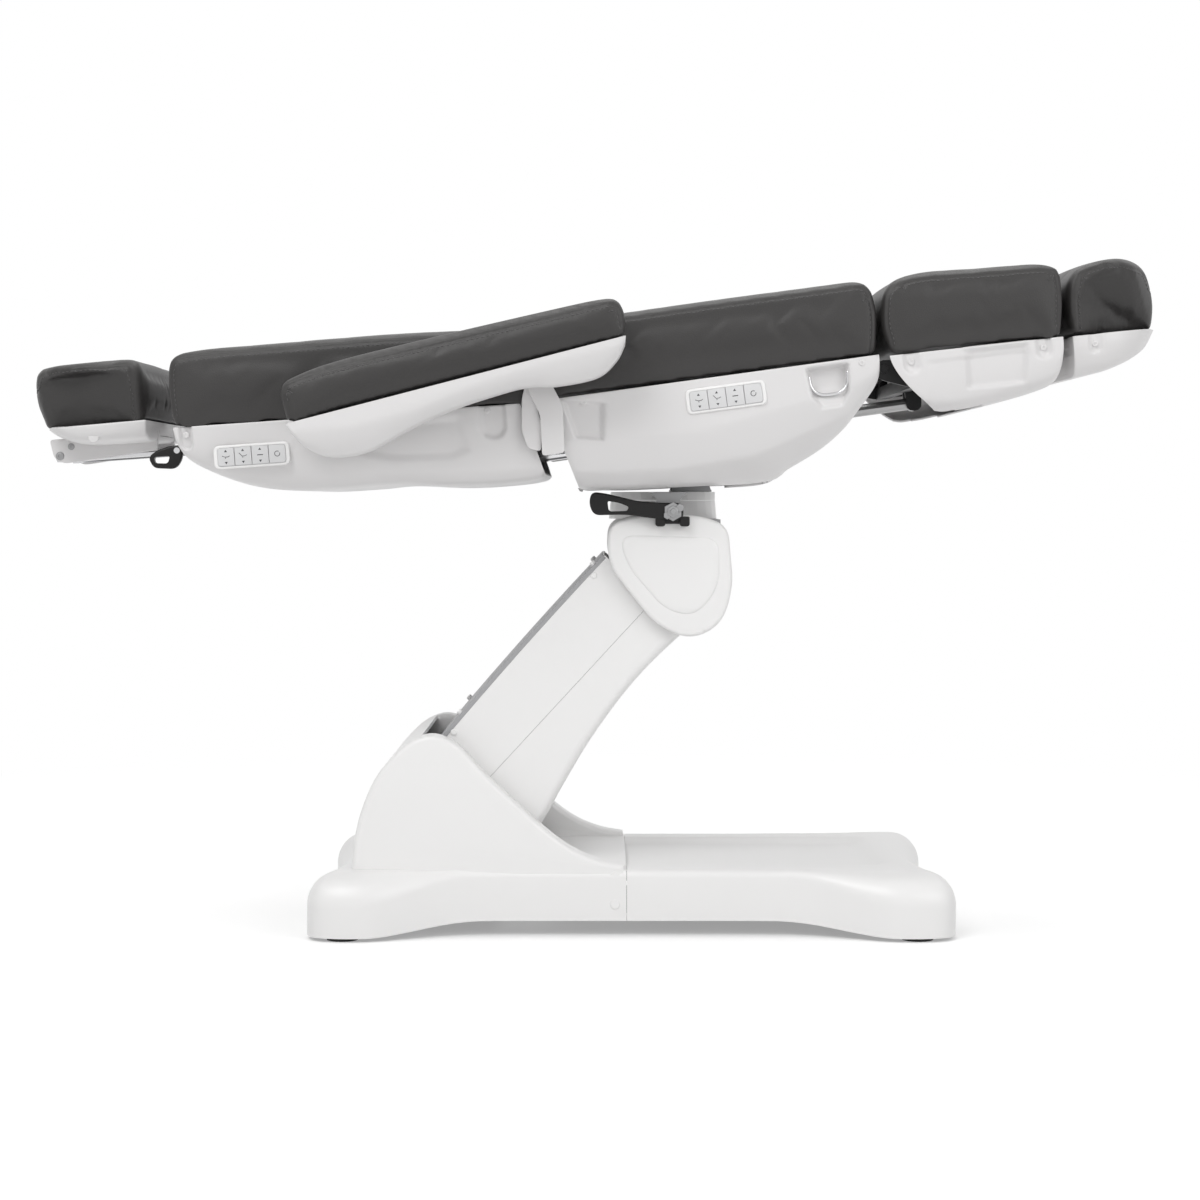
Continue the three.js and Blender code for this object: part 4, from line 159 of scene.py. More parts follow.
def settled(piece):
    """The piece with its modifiers made part of its mesh."""
    depsgraph = bpy.context.evaluated_depsgraph_get()
    depsgraph.update()
    mesh = bpy.data.meshes.new_from_object(piece.evaluated_get(depsgraph))
    piece.modifiers.clear()
    old = piece.data
    piece.data = mesh
    bpy.data.meshes.remove(old)
    return piece


def with_wall(piece, thickness, offset=-1):
    """A sheet given a wall, inwards from its outer face, or centred on it where the offset is 0."""
    wall = piece.modifiers.new("wall", "SOLIDIFY")
    wall.thickness = thickness * MM
    wall.offset = offset
    wall.use_even_offset = False
    return settled(piece)


def carved(piece, *tools, sharp=None):
    """The piece less each closed tool. The tools are removed."""
    for tool in tools:
        cut = piece.modifiers.new("cut", "BOOLEAN")
        cut.operation = "DIFFERENCE"
        cut.solver = "EXACT"
        cut.object = tool
        settled(piece)
        bpy.data.objects.remove(tool)
    return smoothed(piece, sharp)


def fused(name, pieces, sharp=None):
    """Several pieces as one mesh, without joining their surfaces."""
    work = bmesh.new()
    for piece in pieces:
        work.from_mesh(piece.data)
    mesh = bpy.data.meshes.new(name)
    work.to_mesh(mesh)
    work.free()
    for piece in pieces:
        bpy.data.objects.remove(piece)
    result = bpy.data.objects.new(name, mesh)
    bpy.context.scene.collection.objects.link(result)
    return smoothed(result, sharp)


def finished(piece, material, body, slot, *nodes):
    """The piece painted, riding on its body, and standing for its solids."""
    piece.data.materials.clear()
    piece.data.materials.append(material)
    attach(piece, body)
    if nodes:
        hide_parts(*nodes)
    return piece


# Curves and outlines


def spline(rows, count):
    """A table of stations eased by a Catmull-Rom curve through them, at evenly spaced parameters."""
    rows = np.asarray(rows, float)
    at = np.linspace(0, len(rows) - 1, count)
    i = np.minimum(at.astype(int), len(rows) - 2)
    t = (at - i)[:, None]
    a, b, c, d = (rows[np.clip(i + k, 0, len(rows) - 1)] for k in (-1, 0, 1, 2))
    leaving, arriving = (c - a) / 2, (d - b) / 2
    past = 3 * t**2 - 2 * t**3
    return (1 - past) * b + (t**3 - 2 * t**2 + t) * leaving + past * c + (t**3 - t**2) * arriving


def step(x, low, high):
    """A smooth rise from 0 at low to 1 at high."""
    t = np.clip((x - low) / (high - low), 0, 1)
    return t * t * (3 - 2 * t)


def corner_path(corners, steps=6):
    """A closed outline of corners [x, z, radius], each rounded by a quadratic curve of that run."""
    corners = [tuple(c) + (0,) * (3 - len(c)) for c in corners]
    points = []
    for i, (x, z, radius) in enumerate(corners):
        here = np.array([x, z], float)
        back = np.array(corners[i - 1][:2], float) - here
        ahead = np.array(corners[(i + 1) % len(corners)][:2], float) - here
        run = min(radius, np.linalg.norm(back) / 2, np.linalg.norm(ahead) / 2)
        if run <= 0:
            points.append(here)
            continue
        start = here + back / np.linalg.norm(back) * run
        end = here + ahead / np.linalg.norm(ahead) * run
        t = np.linspace(0, 1, steps + 1)[:, None]
        points.extend((1 - t) ** 2 * start + 2 * t * (1 - t) * here + t**2 * end)
    return anticlockwise(np.array(points))


def anticlockwise(path):
    """A closed outline turned to run anticlockwise, seen with x to the right and z up."""
    x, z = path.T
    return path if np.sum(x * np.roll(z, -1) - np.roll(x, -1) * z) > 0 else path[::-1]


def panel_path(x0, x1, z0, z1, radii, steps=6):
    """A rectangle with rounded corners: one radius, or four, from the low head one by the low foot one."""
    return corner_path(list(zip((x0, x1, x1, x0), (z0, z0, z1, z1), np.broadcast_to(radii, 4))), steps)


def inset_path(path, inset):
    """A closed outline moved inwards, square to itself, by one distance."""
    into = path - np.roll(path, 1, axis=0)
    out = np.roll(path, -1, axis=0) - path
    unit = lambda v: v / np.maximum(np.linalg.norm(v, axis=1, keepdims=True), 1e-9)
    into, out = unit(into), unit(out)
    square = unit(np.stack([-into[:, 1] - out[:, 1], into[:, 0] + out[:, 0]], axis=1))
    facing = np.stack([-out[:, 1], out[:, 0]], axis=1)
    stretch = 1 / np.maximum(np.sum(square * facing, axis=1, keepdims=True), 0.5)
    return path + square * stretch * inset


def distance_inside(x, z, polygon):
    """Signed distance to a polygon's outline for whole arrays of points, positive inside."""
    polygon = np.asarray(polygon, float)
    nearest = np.full(np.shape(x), np.inf)
    inside = np.zeros(np.shape(x), bool)
    for a, b in zip(polygon, np.roll(polygon, -1, axis=0)):
        run = b - a
        along = np.clip(((x - a[0]) * run[0] + (z - a[1]) * run[1]) / (run @ run), 0, 1)
        nearest = np.minimum(nearest, np.hypot(x - a[0] - along * run[0], z - a[1] - along * run[1]))
        crossing = (a[1] > z) != (b[1] > z)
        slant = run[0] / run[1] if run[1] else 0
        inside ^= crossing & (x < a[0] + (z - a[1]) * slant)
    return np.where(inside, nearest, -nearest)


def rounded_plate(name, path, y0, y1, radius, slope=LEVEL, steps=5, sharp=35):
    """An outline (x, z) carried from y0 to y1, its rims rounded by a quarter circle of the radius."""
    turn = np.linspace(0, math.pi / 2, steps + 1)
    insets = radius * (1 - np.sin(turn))
    rises = radius * (1 - np.cos(turn))
    rings = [(i, y0 + r) for i, r in zip(insets, rises)]
    rings += [(i, y1 - r) for i, r in zip(insets[::-1], rises[::-1])]
    points = np.array([
        np.column_stack([ring[:, 0], np.full(len(ring), y), ring[:, 1]])
        for ring, y in ((inset_path(path, inset), y) for inset, y in rings)
    ])
    return surface_piece(name, points, slope, wrap_columns=True, capped=True, sharp=sharp)


def box_tool(x0, x1, y0, y1, z0, z1, slope=LEVEL):
    """A plain block, used only to cut with."""
    corners = [(x, y, z) for x in (x0, x1) for y in (y0, y1) for z in (z0, z1)]
    faces = [(0, 1, 3, 2), (4, 6, 7, 5), (0, 4, 5, 1), (2, 3, 7, 6), (0, 2, 6, 4), (1, 5, 7, 3)]
    return outward(mesh_piece("tool", np.array(corners, float), faces, slope))


def turned(name, profile, centre, axis="z", slope=LEVEL, sides=64, sharp=35):
    """A profile [radius, height] turned once about an axis through the centre."""
    profile = np.asarray(profile, float)
    angle = np.linspace(0, 2 * math.pi, sides, endpoint=False)
    radius = np.maximum(profile[:, :1], 0.01)
    ring_a, ring_b = radius * np.cos(angle), radius * np.sin(angle)
    height = np.repeat(profile[:, 1:], sides, axis=1)
    order = {"y": (ring_b, height, ring_a), "z": (ring_a, ring_b, height)}[axis]
    points = np.stack(order, axis=-1) + np.asarray(centre, float)
    return surface_piece(name, points, slope, wrap_columns=True, capped=True, sharp=sharp)


def eased_disc(radius, low, high, ease, steps=4):
    """The profile of a disc whose two rims are rounded."""
    turn = np.linspace(0, math.pi / 2, steps + 1)
    out, up = radius - ease + ease * np.sin(turn), ease * (1 - np.cos(turn))
    lower = list(zip(out, low + up))
    upper = list(zip(out[::-1], high - up[::-1]))
    return [(0, low), *lower, *upper, (0, high)]


def tube_along(name, path, radius, slope=LEVEL, sides=12):
    """A round wire along a path of points, its rings square to the path by parallel transport."""
    path = np.asarray(path, float)
    tangent = np.gradient(path, axis=0)
    tangent /= np.linalg.norm(tangent, axis=1, keepdims=True)
    normal = np.cross(tangent[0], ASKEW)
    normals = []
    for direction in tangent:
        normal = normal - direction * (normal @ direction)
        normal = normal / np.linalg.norm(normal)
        normals.append(normal)
    normals = np.array(normals)
    binormals = np.cross(tangent, normals)
    angle = np.linspace(0, 2 * math.pi, sides, endpoint=False)
    cos, sin = np.cos(angle)[None, :, None], np.sin(angle)[None, :, None]
    ring = normals[:, None] * cos + binormals[:, None] * sin
    return surface_piece(name, path[:, None] + radius * ring, slope, wrap_columns=True, capped=True)


# Materials, with their patterns in cells for each metre

BROAD_WEAR, FINE_WEAR, DUST_AND_TOP_LIGHT_SPECKS, HIDE_WAVES, HIDE_PEBBLES = 9.0, 140.0, 60.0, 14.0, 620.0
PEBBLE_HEIGHT = 0.0006
# Pale grey mixed in on faces that look up: light dust and painted light on the tops.
DUST_AND_TOP_LIGHT_COLOR = (0.45, 0.44, 0.42, 1.0)


def add_node(tree, kind, inputs=(), **settings):
    """A shader node with its settings made, its given sockets linked and its constants set."""
    node = tree.nodes.new(f"ShaderNode{kind}")
    for key, value in settings.items():
        setattr(node, key, value)
    for key, value in dict(inputs).items():
        if isinstance(value, bpy.types.NodeSocket):
            tree.links.new(value, node.inputs[key])
        else:
            node.inputs[key].default_value = value
    return node


def worked_out(tree, operation, *terms):
    """The result of a Math node on sockets and numbers."""
    return add_node(tree, "Math", enumerate(terms), operation=operation).outputs[0]


def new_group(name, kind, **inputs):
    """A node group with number inputs and one value or normal out: the group, its inputs and its output."""
    group = bpy.data.node_groups.new(name, "ShaderNodeTree")
    socket = {"value": "NodeSocketFloat", "normal": "NodeSocketVector"}[kind]
    group.interface.new_socket(name=kind.title(), in_out="OUTPUT", socket_type=socket)
    for label, default in inputs.items():
        given = group.interface.new_socket(name=label, in_out="INPUT", socket_type="NodeSocketFloat")
        given.default_value = default
    return group, group.nodes.new("NodeGroupInput").outputs, group.nodes.new("NodeGroupOutput").inputs[0]


def handling_group():
    """Roughness that varies softly, as from cleaning and handling: a base value plus broad and fine noise."""
    group, given, out = new_group("handling", "value", Base=0.4, Spread=0.06)
    place = add_node(group, "TexCoord").outputs["Object"]
    broad, fine = (
        add_node(group, "TexNoise", {"Vector": place, "Scale": scale, "Detail": 3.0}).outputs["Fac"]
        for scale in (BROAD_WEAR, FINE_WEAR)
    )
    centred = worked_out(group, "SUBTRACT", worked_out(group, "ADD", broad, fine), 1.0)
    group.links.new(worked_out(group, "MULTIPLY_ADD", centred, given["Spread"], given["Base"]), out)
    return group


def dust_and_top_light_group():
    """A mask of light dust and painted light: more on faces that look up, broken up by noise."""
    group, given, out = new_group("dust_and_top_light", "value", Amount=0.1)
    face = add_node(group, "NewGeometry").outputs["Normal"]
    height = add_node(group, "SeparateXYZ", {0: face}).outputs["Z"]
    up = add_node(group, "MapRange", {"From Min": 0.2, "From Max": 1.0, "Value": height}).outputs["Result"]
    place = add_node(group, "TexCoord").outputs["Object"]
    dust_and_light_noise = add_node(group, "TexNoise", {"Vector": place, "Scale": DUST_AND_TOP_LIGHT_SPECKS, "Detail": 5.0})
    broken = worked_out(group, "MULTIPLY", up, dust_and_light_noise.outputs["Fac"])
    group.links.new(worked_out(group, "MULTIPLY", broken, given["Amount"]), out)
    return group


def grain_group():
    """Bump of fine leathery pebbles: cells of a Voronoi pattern, softened, with a faint wide unevenness."""
    group, given, out = new_group("grain", "normal", Strength=0.15)
    place = add_node(group, "TexCoord").outputs["Object"]
    cell_inputs = {"Vector": place, "Scale": HIDE_PEBBLES, "Smoothness": 0.6}
    cells = add_node(group, "TexVoronoi", cell_inputs, feature="SMOOTH_F1").outputs["Distance"]
    waves = add_node(group, "TexNoise", {"Vector": place, "Scale": HIDE_WAVES, "Detail": 2.0}).outputs["Fac"]
    height = worked_out(group, "MULTIPLY_ADD", waves, 2.5, cells)
    relief = add_node(
        group, "Bump", {"Strength": given["Strength"], "Height": height, "Distance": PEBBLE_HEIGHT}
    )
    group.links.new(relief.outputs["Normal"], out)
    return group


HANDLING, DUST_AND_TOP_LIGHT, GRAIN = handling_group(), dust_and_top_light_group(), grain_group()


def finish_of(name, color, roughness, metallic=0.0, spread=0.06, dust_and_top_light=0.0, grain=0.0, specular=0.5):
    """A Principled material whose colour, roughness and bump come from the shared groups."""
    material = bpy.data.materials.new(name)
    material.use_nodes = True
    tree = material.node_tree
    shader = tree.nodes["Principled BSDF"]
    shader.inputs["Metallic"].default_value = metallic
    shader.inputs["Specular IOR Level"].default_value = specular
    worn = add_node(tree, "Group", {"Base": roughness, "Spread": spread}, node_tree=HANDLING)
    tree.links.new(worn.outputs[0], shader.inputs["Roughness"])
    # The colour is mixed towards pale grey on faces that look up: light dust and painted light on the tops.
    mask = add_node(tree, "Group", {"Amount": dust_and_top_light}, node_tree=DUST_AND_TOP_LIGHT).outputs[0]
    color_a, color_b, result = 6, 7, 2  # the colour sockets of a Mix node
    mix = add_node(tree, "Mix", {0: mask, color_a: (*color, 1.0), color_b: DUST_AND_TOP_LIGHT_COLOR}, data_type="RGBA")
    tree.links.new(mix.outputs[result], shader.inputs["Base Color"])
    if grain:
        pebbles = add_node(tree, "Group", {"Strength": grain}, node_tree=GRAIN)
        tree.links.new(pebbles.outputs[0], shader.inputs["Normal"])
    return material


WHITE = finish_of("white_shell", (0.84, 0.835, 0.83), 0.34, spread=0.05)
# A darker copy of the white plastic for the sections' shells and their caps, plates and hinge covers: painted
# shade for these upper parts.
SHADED_SHELL_WHITE = finish_of("shaded_shell_white", (0.71, 0.70, 0.70), 0.36, spread=0.05)
# The vinyl is lightened on faces that look up: light dust and painted light on the cushion tops.
VINYL = finish_of(
    "vinyl", (0.0345, 0.0328, 0.0322), 0.47, spread=0.08, dust_and_top_light=0.03, grain=0.22, specular=0.4
)
THREAD = finish_of("thread", (0.085, 0.083, 0.083), 0.7)
# The black steel is lightened on faces that look up: light dust and painted light on its tops.
BLACK_STEEL = finish_of("black_steel", (0.009, 0.009, 0.0095), 0.42, metallic=0.2, dust_and_top_light=0.06)
GREY_STEEL = finish_of("grey_steel", (0.33, 0.33, 0.335), 0.38, metallic=0.75)
BRIGHT_STEEL = finish_of("bright_steel", (0.62, 0.62, 0.63), 0.14, metallic=1.0, spread=0.03)
SATIN_STEEL = finish_of("satin_steel", (0.4, 0.4, 0.4), 0.32, metallic=0.8)
BLACK_PLASTIC = finish_of("black_plastic", (0.008, 0.0074, 0.0074), 0.36, specular=0.3)
KEY_PLASTIC = finish_of("key_plastic", (0.66, 0.66, 0.665), 0.42)
ICON = finish_of("key_print", (0.06, 0.06, 0.065), 0.5)
# Grey for the strip over the arm cover's top: painted shade on the white cover's grazing top face.
SHADE_STRIP_GREY = finish_of("painted_shade_grey", (0.36, 0.36, 0.37), 0.45)

CAD_FINISHES = {
    (BLACK_STEEL, "black_steel"): [
        "base_frame", "lift_arm", "tie_link", "lock_mount", "seat_frame", "back_frame", "leg_frame",
        "foot_rails",
    ],
    (GREY_STEEL, "grey_steel"): [
        "arm_head", "tilt_bracket", "lock_bracket", "lift_actuator_tube", "tilt_actuator_tube",
        "back_actuator_tube", "leg_actuator_tube",
    ],
    (BRIGHT_STEEL, "bright_steel"): [
        "lift_actuator_rod", "tilt_actuator_rod", "back_actuator_rod", "head_rails",
    ],
    (SATIN_STEEL, "bright_steel"): ["leg_actuator_rod"],
    (WHITE, "grey_steel"): ["swivel_collar", "swivel_plate"],
    (BLACK_PLASTIC, "black_plastic"): [
        "control_box", "mains_inlet", *(f"levelling_foot_{i}" for i in (1, 2, 3, 4)),
    ],
}


def dress_solids():
    """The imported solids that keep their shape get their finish."""
    for (material, slot), nodes in CAD_FINISHES.items():
        for node in nodes:
            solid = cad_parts[node]
            solid.data.materials.clear()
            solid.data.materials.append(material)


# Moulded shells: a section's rows are shares of the half width and of the depth

TUB_SECTION = [
    (1, 0), (0.998, 0.3), (0.99, 0.55), (0.97, 0.78), (0.94, 0.9), (0.905, 0.97), (0.85, 0.998), (0.6, 1),
    (0.3, 1), (0, 1),
]
HEAD_SECTION = [(1, 0), (0.99, 0.3), (0.96, 0.6), (0.9, 0.82), (0.78, 0.96), (0.6, 1), (0.3, 1), (0, 1)]
ARMREST_SECTION = [(1, 0), (0.985, 0.4), (0.93, 0.68), (0.8, 0.9), (0.6, 1), (0.3, 1), (0, 1)]
SECTION_SAMPLES = 161
SHELL_WALL = 4.0
GRID_PITCH, UNDERSIDE_PITCH = 3.0, 12.0
SIDE_DEPTH_SHARE = 0.97  # above this share of the depth a skin counts as side, below it as underside
KEEL_FADE = 40.0  # a wall's relief fades out over this distance from the middle
ABOVE_RIM = 30


def tub_points(rows, rim, lean=1.0, section=TUB_SECTION, centre=0.0, shape=None):
    """A shell's outer skin as a grid.

    Rows hold [x at the rim, x at the keel, depth, half width] along the shell. Down the wall a share s runs
    from the rim to the keel: x goes from rim x to keel x by s to the power lean, z falls by s times the
    depth, and y is the half width times the section's share. shape(x, z) draws the wall in, in millimetres.
    """
    rows = np.asarray(rows, float)
    length = np.abs(np.diff(rows[:, :2].mean(axis=1))).sum()
    along = spline(rows, max(24, int(length / GRID_PITCH)))
    width_share, depth_share = spline(section, SECTION_SAMPLES).T
    run = np.hypot(np.diff(width_share * rows[:, 3].max()), np.diff(depth_share * rows[:, 2].max()))
    travelled = np.concatenate([[0], np.cumsum(run)])
    side = np.interp(SIDE_DEPTH_SHARE, depth_share, travelled)
    wall = np.concatenate([
        np.linspace(0, side, max(8, int(side / GRID_PITCH)), endpoint=False),
        np.linspace(side, travelled[-1], max(6, int((travelled[-1] - side) / UNDERSIDE_PITCH))),
    ])
    width_share = np.interp(wall, travelled, width_share)
    depth_share = np.clip(np.interp(wall, travelled, depth_share), 0, 1)
    rim_x, keel_x, depth, half = (along[:, k : k + 1] for k in range(4))
    x = rim_x + (keel_x - rim_x) * depth_share**lean
    z = rim - np.maximum(depth, 0.5) * depth_share
    y = half * width_share
    if shape is not None:
        y = y - shape(x, z) * np.clip(y / KEEL_FADE, 0, 1)
    near = np.stack([x, centre - y, z], axis=-1)
    far = np.stack([x, centre + y, z], axis=-1)[:, ::-1][:, 1:]
    return np.concatenate([near, far], axis=1)


def tub_piece(name, points, slope, close_head, close_foot, openings=()):
    """The skin of a shell with its ends closed where the real one is closed, given a wall.

    Each opening (x0, x1, y half, z low, z high) leaves out the faces whose middle lies in that box.
    """
    columns = points.shape[1]
    faces = grid_faces(*points.shape[:2])
    x, y, z = points.reshape(-1, 3)[faces].mean(axis=1).T
    kept = np.ones(len(faces), bool)
    for x0, x1, half, low, high in openings:
        kept &= ~((x > x0) & (x < x1) & (np.abs(y) < half) & (z > low) & (z < high))
    faces = faces[kept].tolist()
    last = (points.shape[0] - 1) * columns
    for closed, start in ((close_head, 0), (close_foot, last)):
        for i in range(columns // 2 if closed else 0):
            x, y, z = points[0 if start == 0 else -1, i]
            if any(x0 < x < x1 and low < z < high and abs(y) < half for x0, x1, half, low, high in openings):
                continue
            quad = [start + i, start + i + 1, start + columns - 2 - i, start + columns - 1 - i]
            quad = list(dict.fromkeys(quad))
            faces.append(quad if start else quad[::-1])
    piece = mesh_piece(name, points.reshape(-1, 3), faces, slope)
    work = bmesh.new()
    work.from_mesh(piece.data)
    bmesh.ops.recalc_face_normals(work, faces=work.faces)
    if sum(f.normal.z * f.calc_area() for f in work.faces) > 0:
        bmesh.ops.reverse_faces(work, faces=work.faces)
    work.to_mesh(piece.data)
    work.free()
    return with_wall(piece, SHELL_WALL)


def dip(polygon, depth, edge):
    """A shallow recess of the wall: the depth inside a polygon (x, z), easing to nothing over its edge."""
    return lambda x, z: depth * step(distance_inside(x, z, polygon), 0, edge)


def below_line(line, lean, edge):
    """The wall leaning in below a line of points (x, z), by the lean times the drop below it."""
    line = np.asarray(line, float)

    def drawn(x, z):
        drop = np.interp(x, line[:, 0], line[:, 1]) - z
        return lean * edge * np.logaddexp(0, drop / edge)

    return drawn


def well(x, z, width, height, depth=7.0, edge=6.0):
    """A screw's well, a pocket with a round lower end that opens over the rim."""
    radius = width / 2
    angle = np.linspace(math.pi, 2 * math.pi, 13)
    lower = [(x + radius * math.cos(a), z - height + radius + radius * math.sin(a)) for a in angle]
    return dip([(x - radius, z + ABOVE_RIM), *lower, (x + radius, z + ABOVE_RIM)], depth, edge)


def together(*shapes):
    """Several reliefs of one wall, added up."""
    return lambda x, z: sum(shape(x, z) for shape in shapes)


CAP_RADIUS = 5.0


def screw_cap(name, x, z, face, side, slope, radius=CAP_RADIUS):
    """A domed cap over a fixing screw, with a small socket in its middle."""
    rim, socket = radius * 0.4, radius * 0.36
    profile = [
        (0, -1), (radius, -1), (radius, 0.6), (radius * 0.86, 1.5), (rim, 1.9), (socket, 0.8), (0, 0.8),
    ]
    profile = [(r, side * h) for r, h in profile]
    return turned(name, profile, (x, side * face, z), axis="y", slope=slope, sides=28)


def side_screws(label, body, slope, places):
    """White screw caps on both sides: places of [x, z, distance from the middle, end of the name]."""
    for side, name in BOTH_SIDES:
        for x, z, face, end in places:
            cap = screw_cap(f"{label}_screw_{name}{end}", x, z, face, side, slope)
            finished(cap, SHADED_SHELL_WHITE, body, "white_shell")


# Section shells: rows of [x at the rim, x at the keel, depth, half width] in each section's frame

SEAT_ROWS = [
    [2, 46, 143, 304], [14, 58, 147, 305], [50, 84, 150, 305], [110, 130, 156, 305], [230, 235, 165, 305],
    [345, 346, 173, 305], [410, 385, 157, 305], [460, 436, 134, 305], [498, 474, 108, 305],
    [522, 506, 76, 305], [535, 529, 50, 305], [538, 537, 30, 304.5], [538, 538, 6, 304],
]
BACK_ROWS = [
    [-571, -571, 6, 302], [-570, -568, 30, 304], [-566, -556, 50, 305], [-552, -530, 68, 305],
    [-520, -484, 90, 305], [-460, -438, 104, 305], [-380, -376, 112, 305], [-298, -298, 113, 305],
    [-235, -235, 112, 305], [-150, -140, 122, 305], [-70, -55, 123, 305], [-38, -8, 119, 305],
    [-27, 4, 112, 304],
]
HEAD_ROWS = [
    [-203, -200, 5, 60], [-199, -186, 13, 128], [-182, -165, 22, 166], [-148, -140, 29, 182],
    [-90, -90, 32, 186], [-50, -50, 32, 187], [-34, -36, 31, 187], [-30, -32, 26, 186],
]
LEG_ROWS = [
    [4, 74, 96, 304], [16, 88, 99, 305], [60, 105, 98, 305], [120, 130, 96, 305], [180, 180, 89, 305],
    [225, 225, 81, 305], [262, 256, 72, 305], [274, 268, 58, 305], [276, 276, 30, 304],
]
FOOT_ROWS = [
    [297, 297, 60, 273], [299, 300, 65, 275], [320, 320, 62, 275], [350, 350, 58, 275], [380, 378, 50, 269],
    [412, 404, 40, 247], [436, 426, 28, 208], [450, 440, 14, 160], [454, 448, 7, 106],
]
ARMREST_ROWS = [
    [1, 4, 8, 40], [3, 16, 36, 47], [12, 41, 59, 48], [50, 72, 69, 48], [116, 116, 70, 48],
    [183, 183, 53, 48], [249, 249, 41, 48], [328, 328, 36, 48], [372, 372, 37, 48], [419, 419, 47, 48],
    [481, 478, 49, 48], [520, 512, 32, 47], [534, 530, 12, 42],
]
SIDE_CREASE = [(0, -70), (152, -75), (245, -82), (454, -52), (531, -30)]
SIDE_CHINE = [(40, -118), (113, -128), (206, -136), (333, -130), (480, -87), (531, -38)]
SWOOSH = [(-571, 0), (-480, -4), (-371, -49), (-311, -72), (-218, -91), (-31, -104), (0, -106)]
SCOOP = [(421, 0), (492, 0), (488, -52), (474, -74), (439, -74), (425, -52)]
SCOOP_DEPTH = 20
CORNER_RECESS = [(37, -3), (105, -13), (96, -77), (50, -66)]
TILT_OPENING, LEG_ROD_OPENING = (50, 285, 96, -200, -110), (392, 560, 40, -190, -22)
HEAD_RAIL_WAY = (-590, -510, -74, 74, -36, -26)
ARMREST_DISH = [(-352, -8), (-120, -8), (-104, -70), (-140, -84), (-235, -80), (-300, -62), (-352, -34)]
LEG_RIM = 17
LEG_RECESS = [(121, 16), (224, 16), (214, -50), (119, -50)]
LEG_CHINE = [(60, -62), (120, -72), (167, -64), (246, -49), (276, -36)]
LEG_OPENING = (-10, 150, 268, -110, -50)
FOOT_BAND = [(297, -2), (340, 0), (400, 4), (454, 10)]
FOOT_RAIL_Y, FOOT_RAIL_ROOM = 120, 11
ARMREST_GROOVE = [(20, -16), (100, -30), (200, -28), (300, -14), (400, -9), (520, -12)]
ARMREST_MIDDLE = 380
SHELL_SMOOTH = 34  # edges over this many degrees stay sharp
HEAD_PLATE = [(-211, -14, 6), (-206, -46, 10), (-190, -55, 8), (-34, -46, 4), (-30, -14, 0)]
HEAD_PLATE_Y, HEAD_PLATE_FACE = 74, 80
HEAD_BOLTS = ((-196, -42, 7.0), (-176, -28, 5.5))
HEAD_BOSS = (-118, 178, -20)


def scoop_dip(x, z):
    """The strap ring's scoop: deepest under the rim, running out to the wall at its round foot."""
    depth = SCOOP_DEPTH * step(-z, 5, 11) * (1 - 0.75 * step(-z, 34, 74))
    return depth * step(distance_inside(x, z, SCOOP), 0, 7)


def between_wells(x, z):
    """The leg shell's rim drawn in a little between its two wells."""
    return 2.5 * step(3 - z, 0, 3) * step(x, 58, 72) * (1 - step(x, 214, 228))


def seat_shell():
    """The seat's shell: two creases along its side, a corner recess and a scoop behind the strap ring."""
    shape = together(
        below_line(SIDE_CREASE, 0.3, 2), below_line(SIDE_CHINE, 0.8, 2), dip(CORNER_RECESS, 8, 6), scoop_dip,
    )
    points = tub_points(SEAT_ROWS, 0, lean=0.75, shape=shape)
    shell = tub_piece("seat_shell_moulding", points, SEAT, False, True, (TILT_OPENING, LEG_ROD_OPENING))
    finished(shell, SHADED_SHELL_WHITE, "seat", "white_shell", "seat_shell")
    side_screws("seat", "seat", SEAT, [(71, -11, 300, "_71"), (510, -9, 305, "_510")])


def back_shell():
    """The back's shell: a swept crease, a dish behind the armrest, wells, and a way for the rails."""
    shape = together(
        below_line(SWOOSH, 0.22, 3), dip(ARMREST_DISH, 5, 16), well(-552, 0, 24, 38), well(-71, 0, 44, 54),
    )
    points = tub_points(BACK_ROWS, 0, shape=shape)
    shell = tub_piece("back_shell_moulding", points, BACK, True, False)
    shell = carved(shell, box_tool(*HEAD_RAIL_WAY, BACK))
    finished(shell, SHADED_SHELL_WHITE, "back", "white_shell", "back_shell")
    side_screws("back", "back", BACK, [(-79, -7, 298, "_79"), (-552, -12, 298, "_552")])


def head_shell():
    """The headrest's shell, with a side plate, two bolts and a round boss on each side."""
    points = tub_points(HEAD_ROWS, 0, section=HEAD_SECTION)
    shell = tub_piece("head_shell_moulding", points, HEAD, True, True)
    finished(shell, SHADED_SHELL_WHITE, "headrest", "white_shell", "head_shell")
    for side, name in BOTH_SIDES:
        low, high = sorted((side * HEAD_PLATE_Y, side * HEAD_PLATE_FACE))
        plate = rounded_plate(f"head_side_plate_{name}", corner_path(HEAD_PLATE), low, high, 1.5, HEAD)
        finished(plate, SHADED_SHELL_WHITE, "headrest", "white_shell")
        for i, (x, z, radius) in enumerate(HEAD_BOLTS):
            bolt = screw_cap(f"head_bolt_{name}_{i + 1}", x, z, HEAD_PLATE_FACE, side, HEAD, radius)
            finished(bolt, GREY_STEEL, "headrest", "grey_steel")
        x, y, z = HEAD_BOSS
        boss = turned(f"head_boss_{name}", eased_disc(9, 0, 6, 2), (x, side * y, z), axis="y", slope=HEAD)
        finished(boss, SHADED_SHELL_WHITE, "headrest", "white_shell")


def rail_ways(x0, x1):
    """Tools for the two ways that the foot section's slide rails take through a shell's end wall."""
    return [
        box_tool(x0, x1, y - FOOT_RAIL_ROOM, y + FOOT_RAIL_ROOM, -11, 1, LEG)
        for y in (-FOOT_RAIL_Y, FOOT_RAIL_Y)
    ]


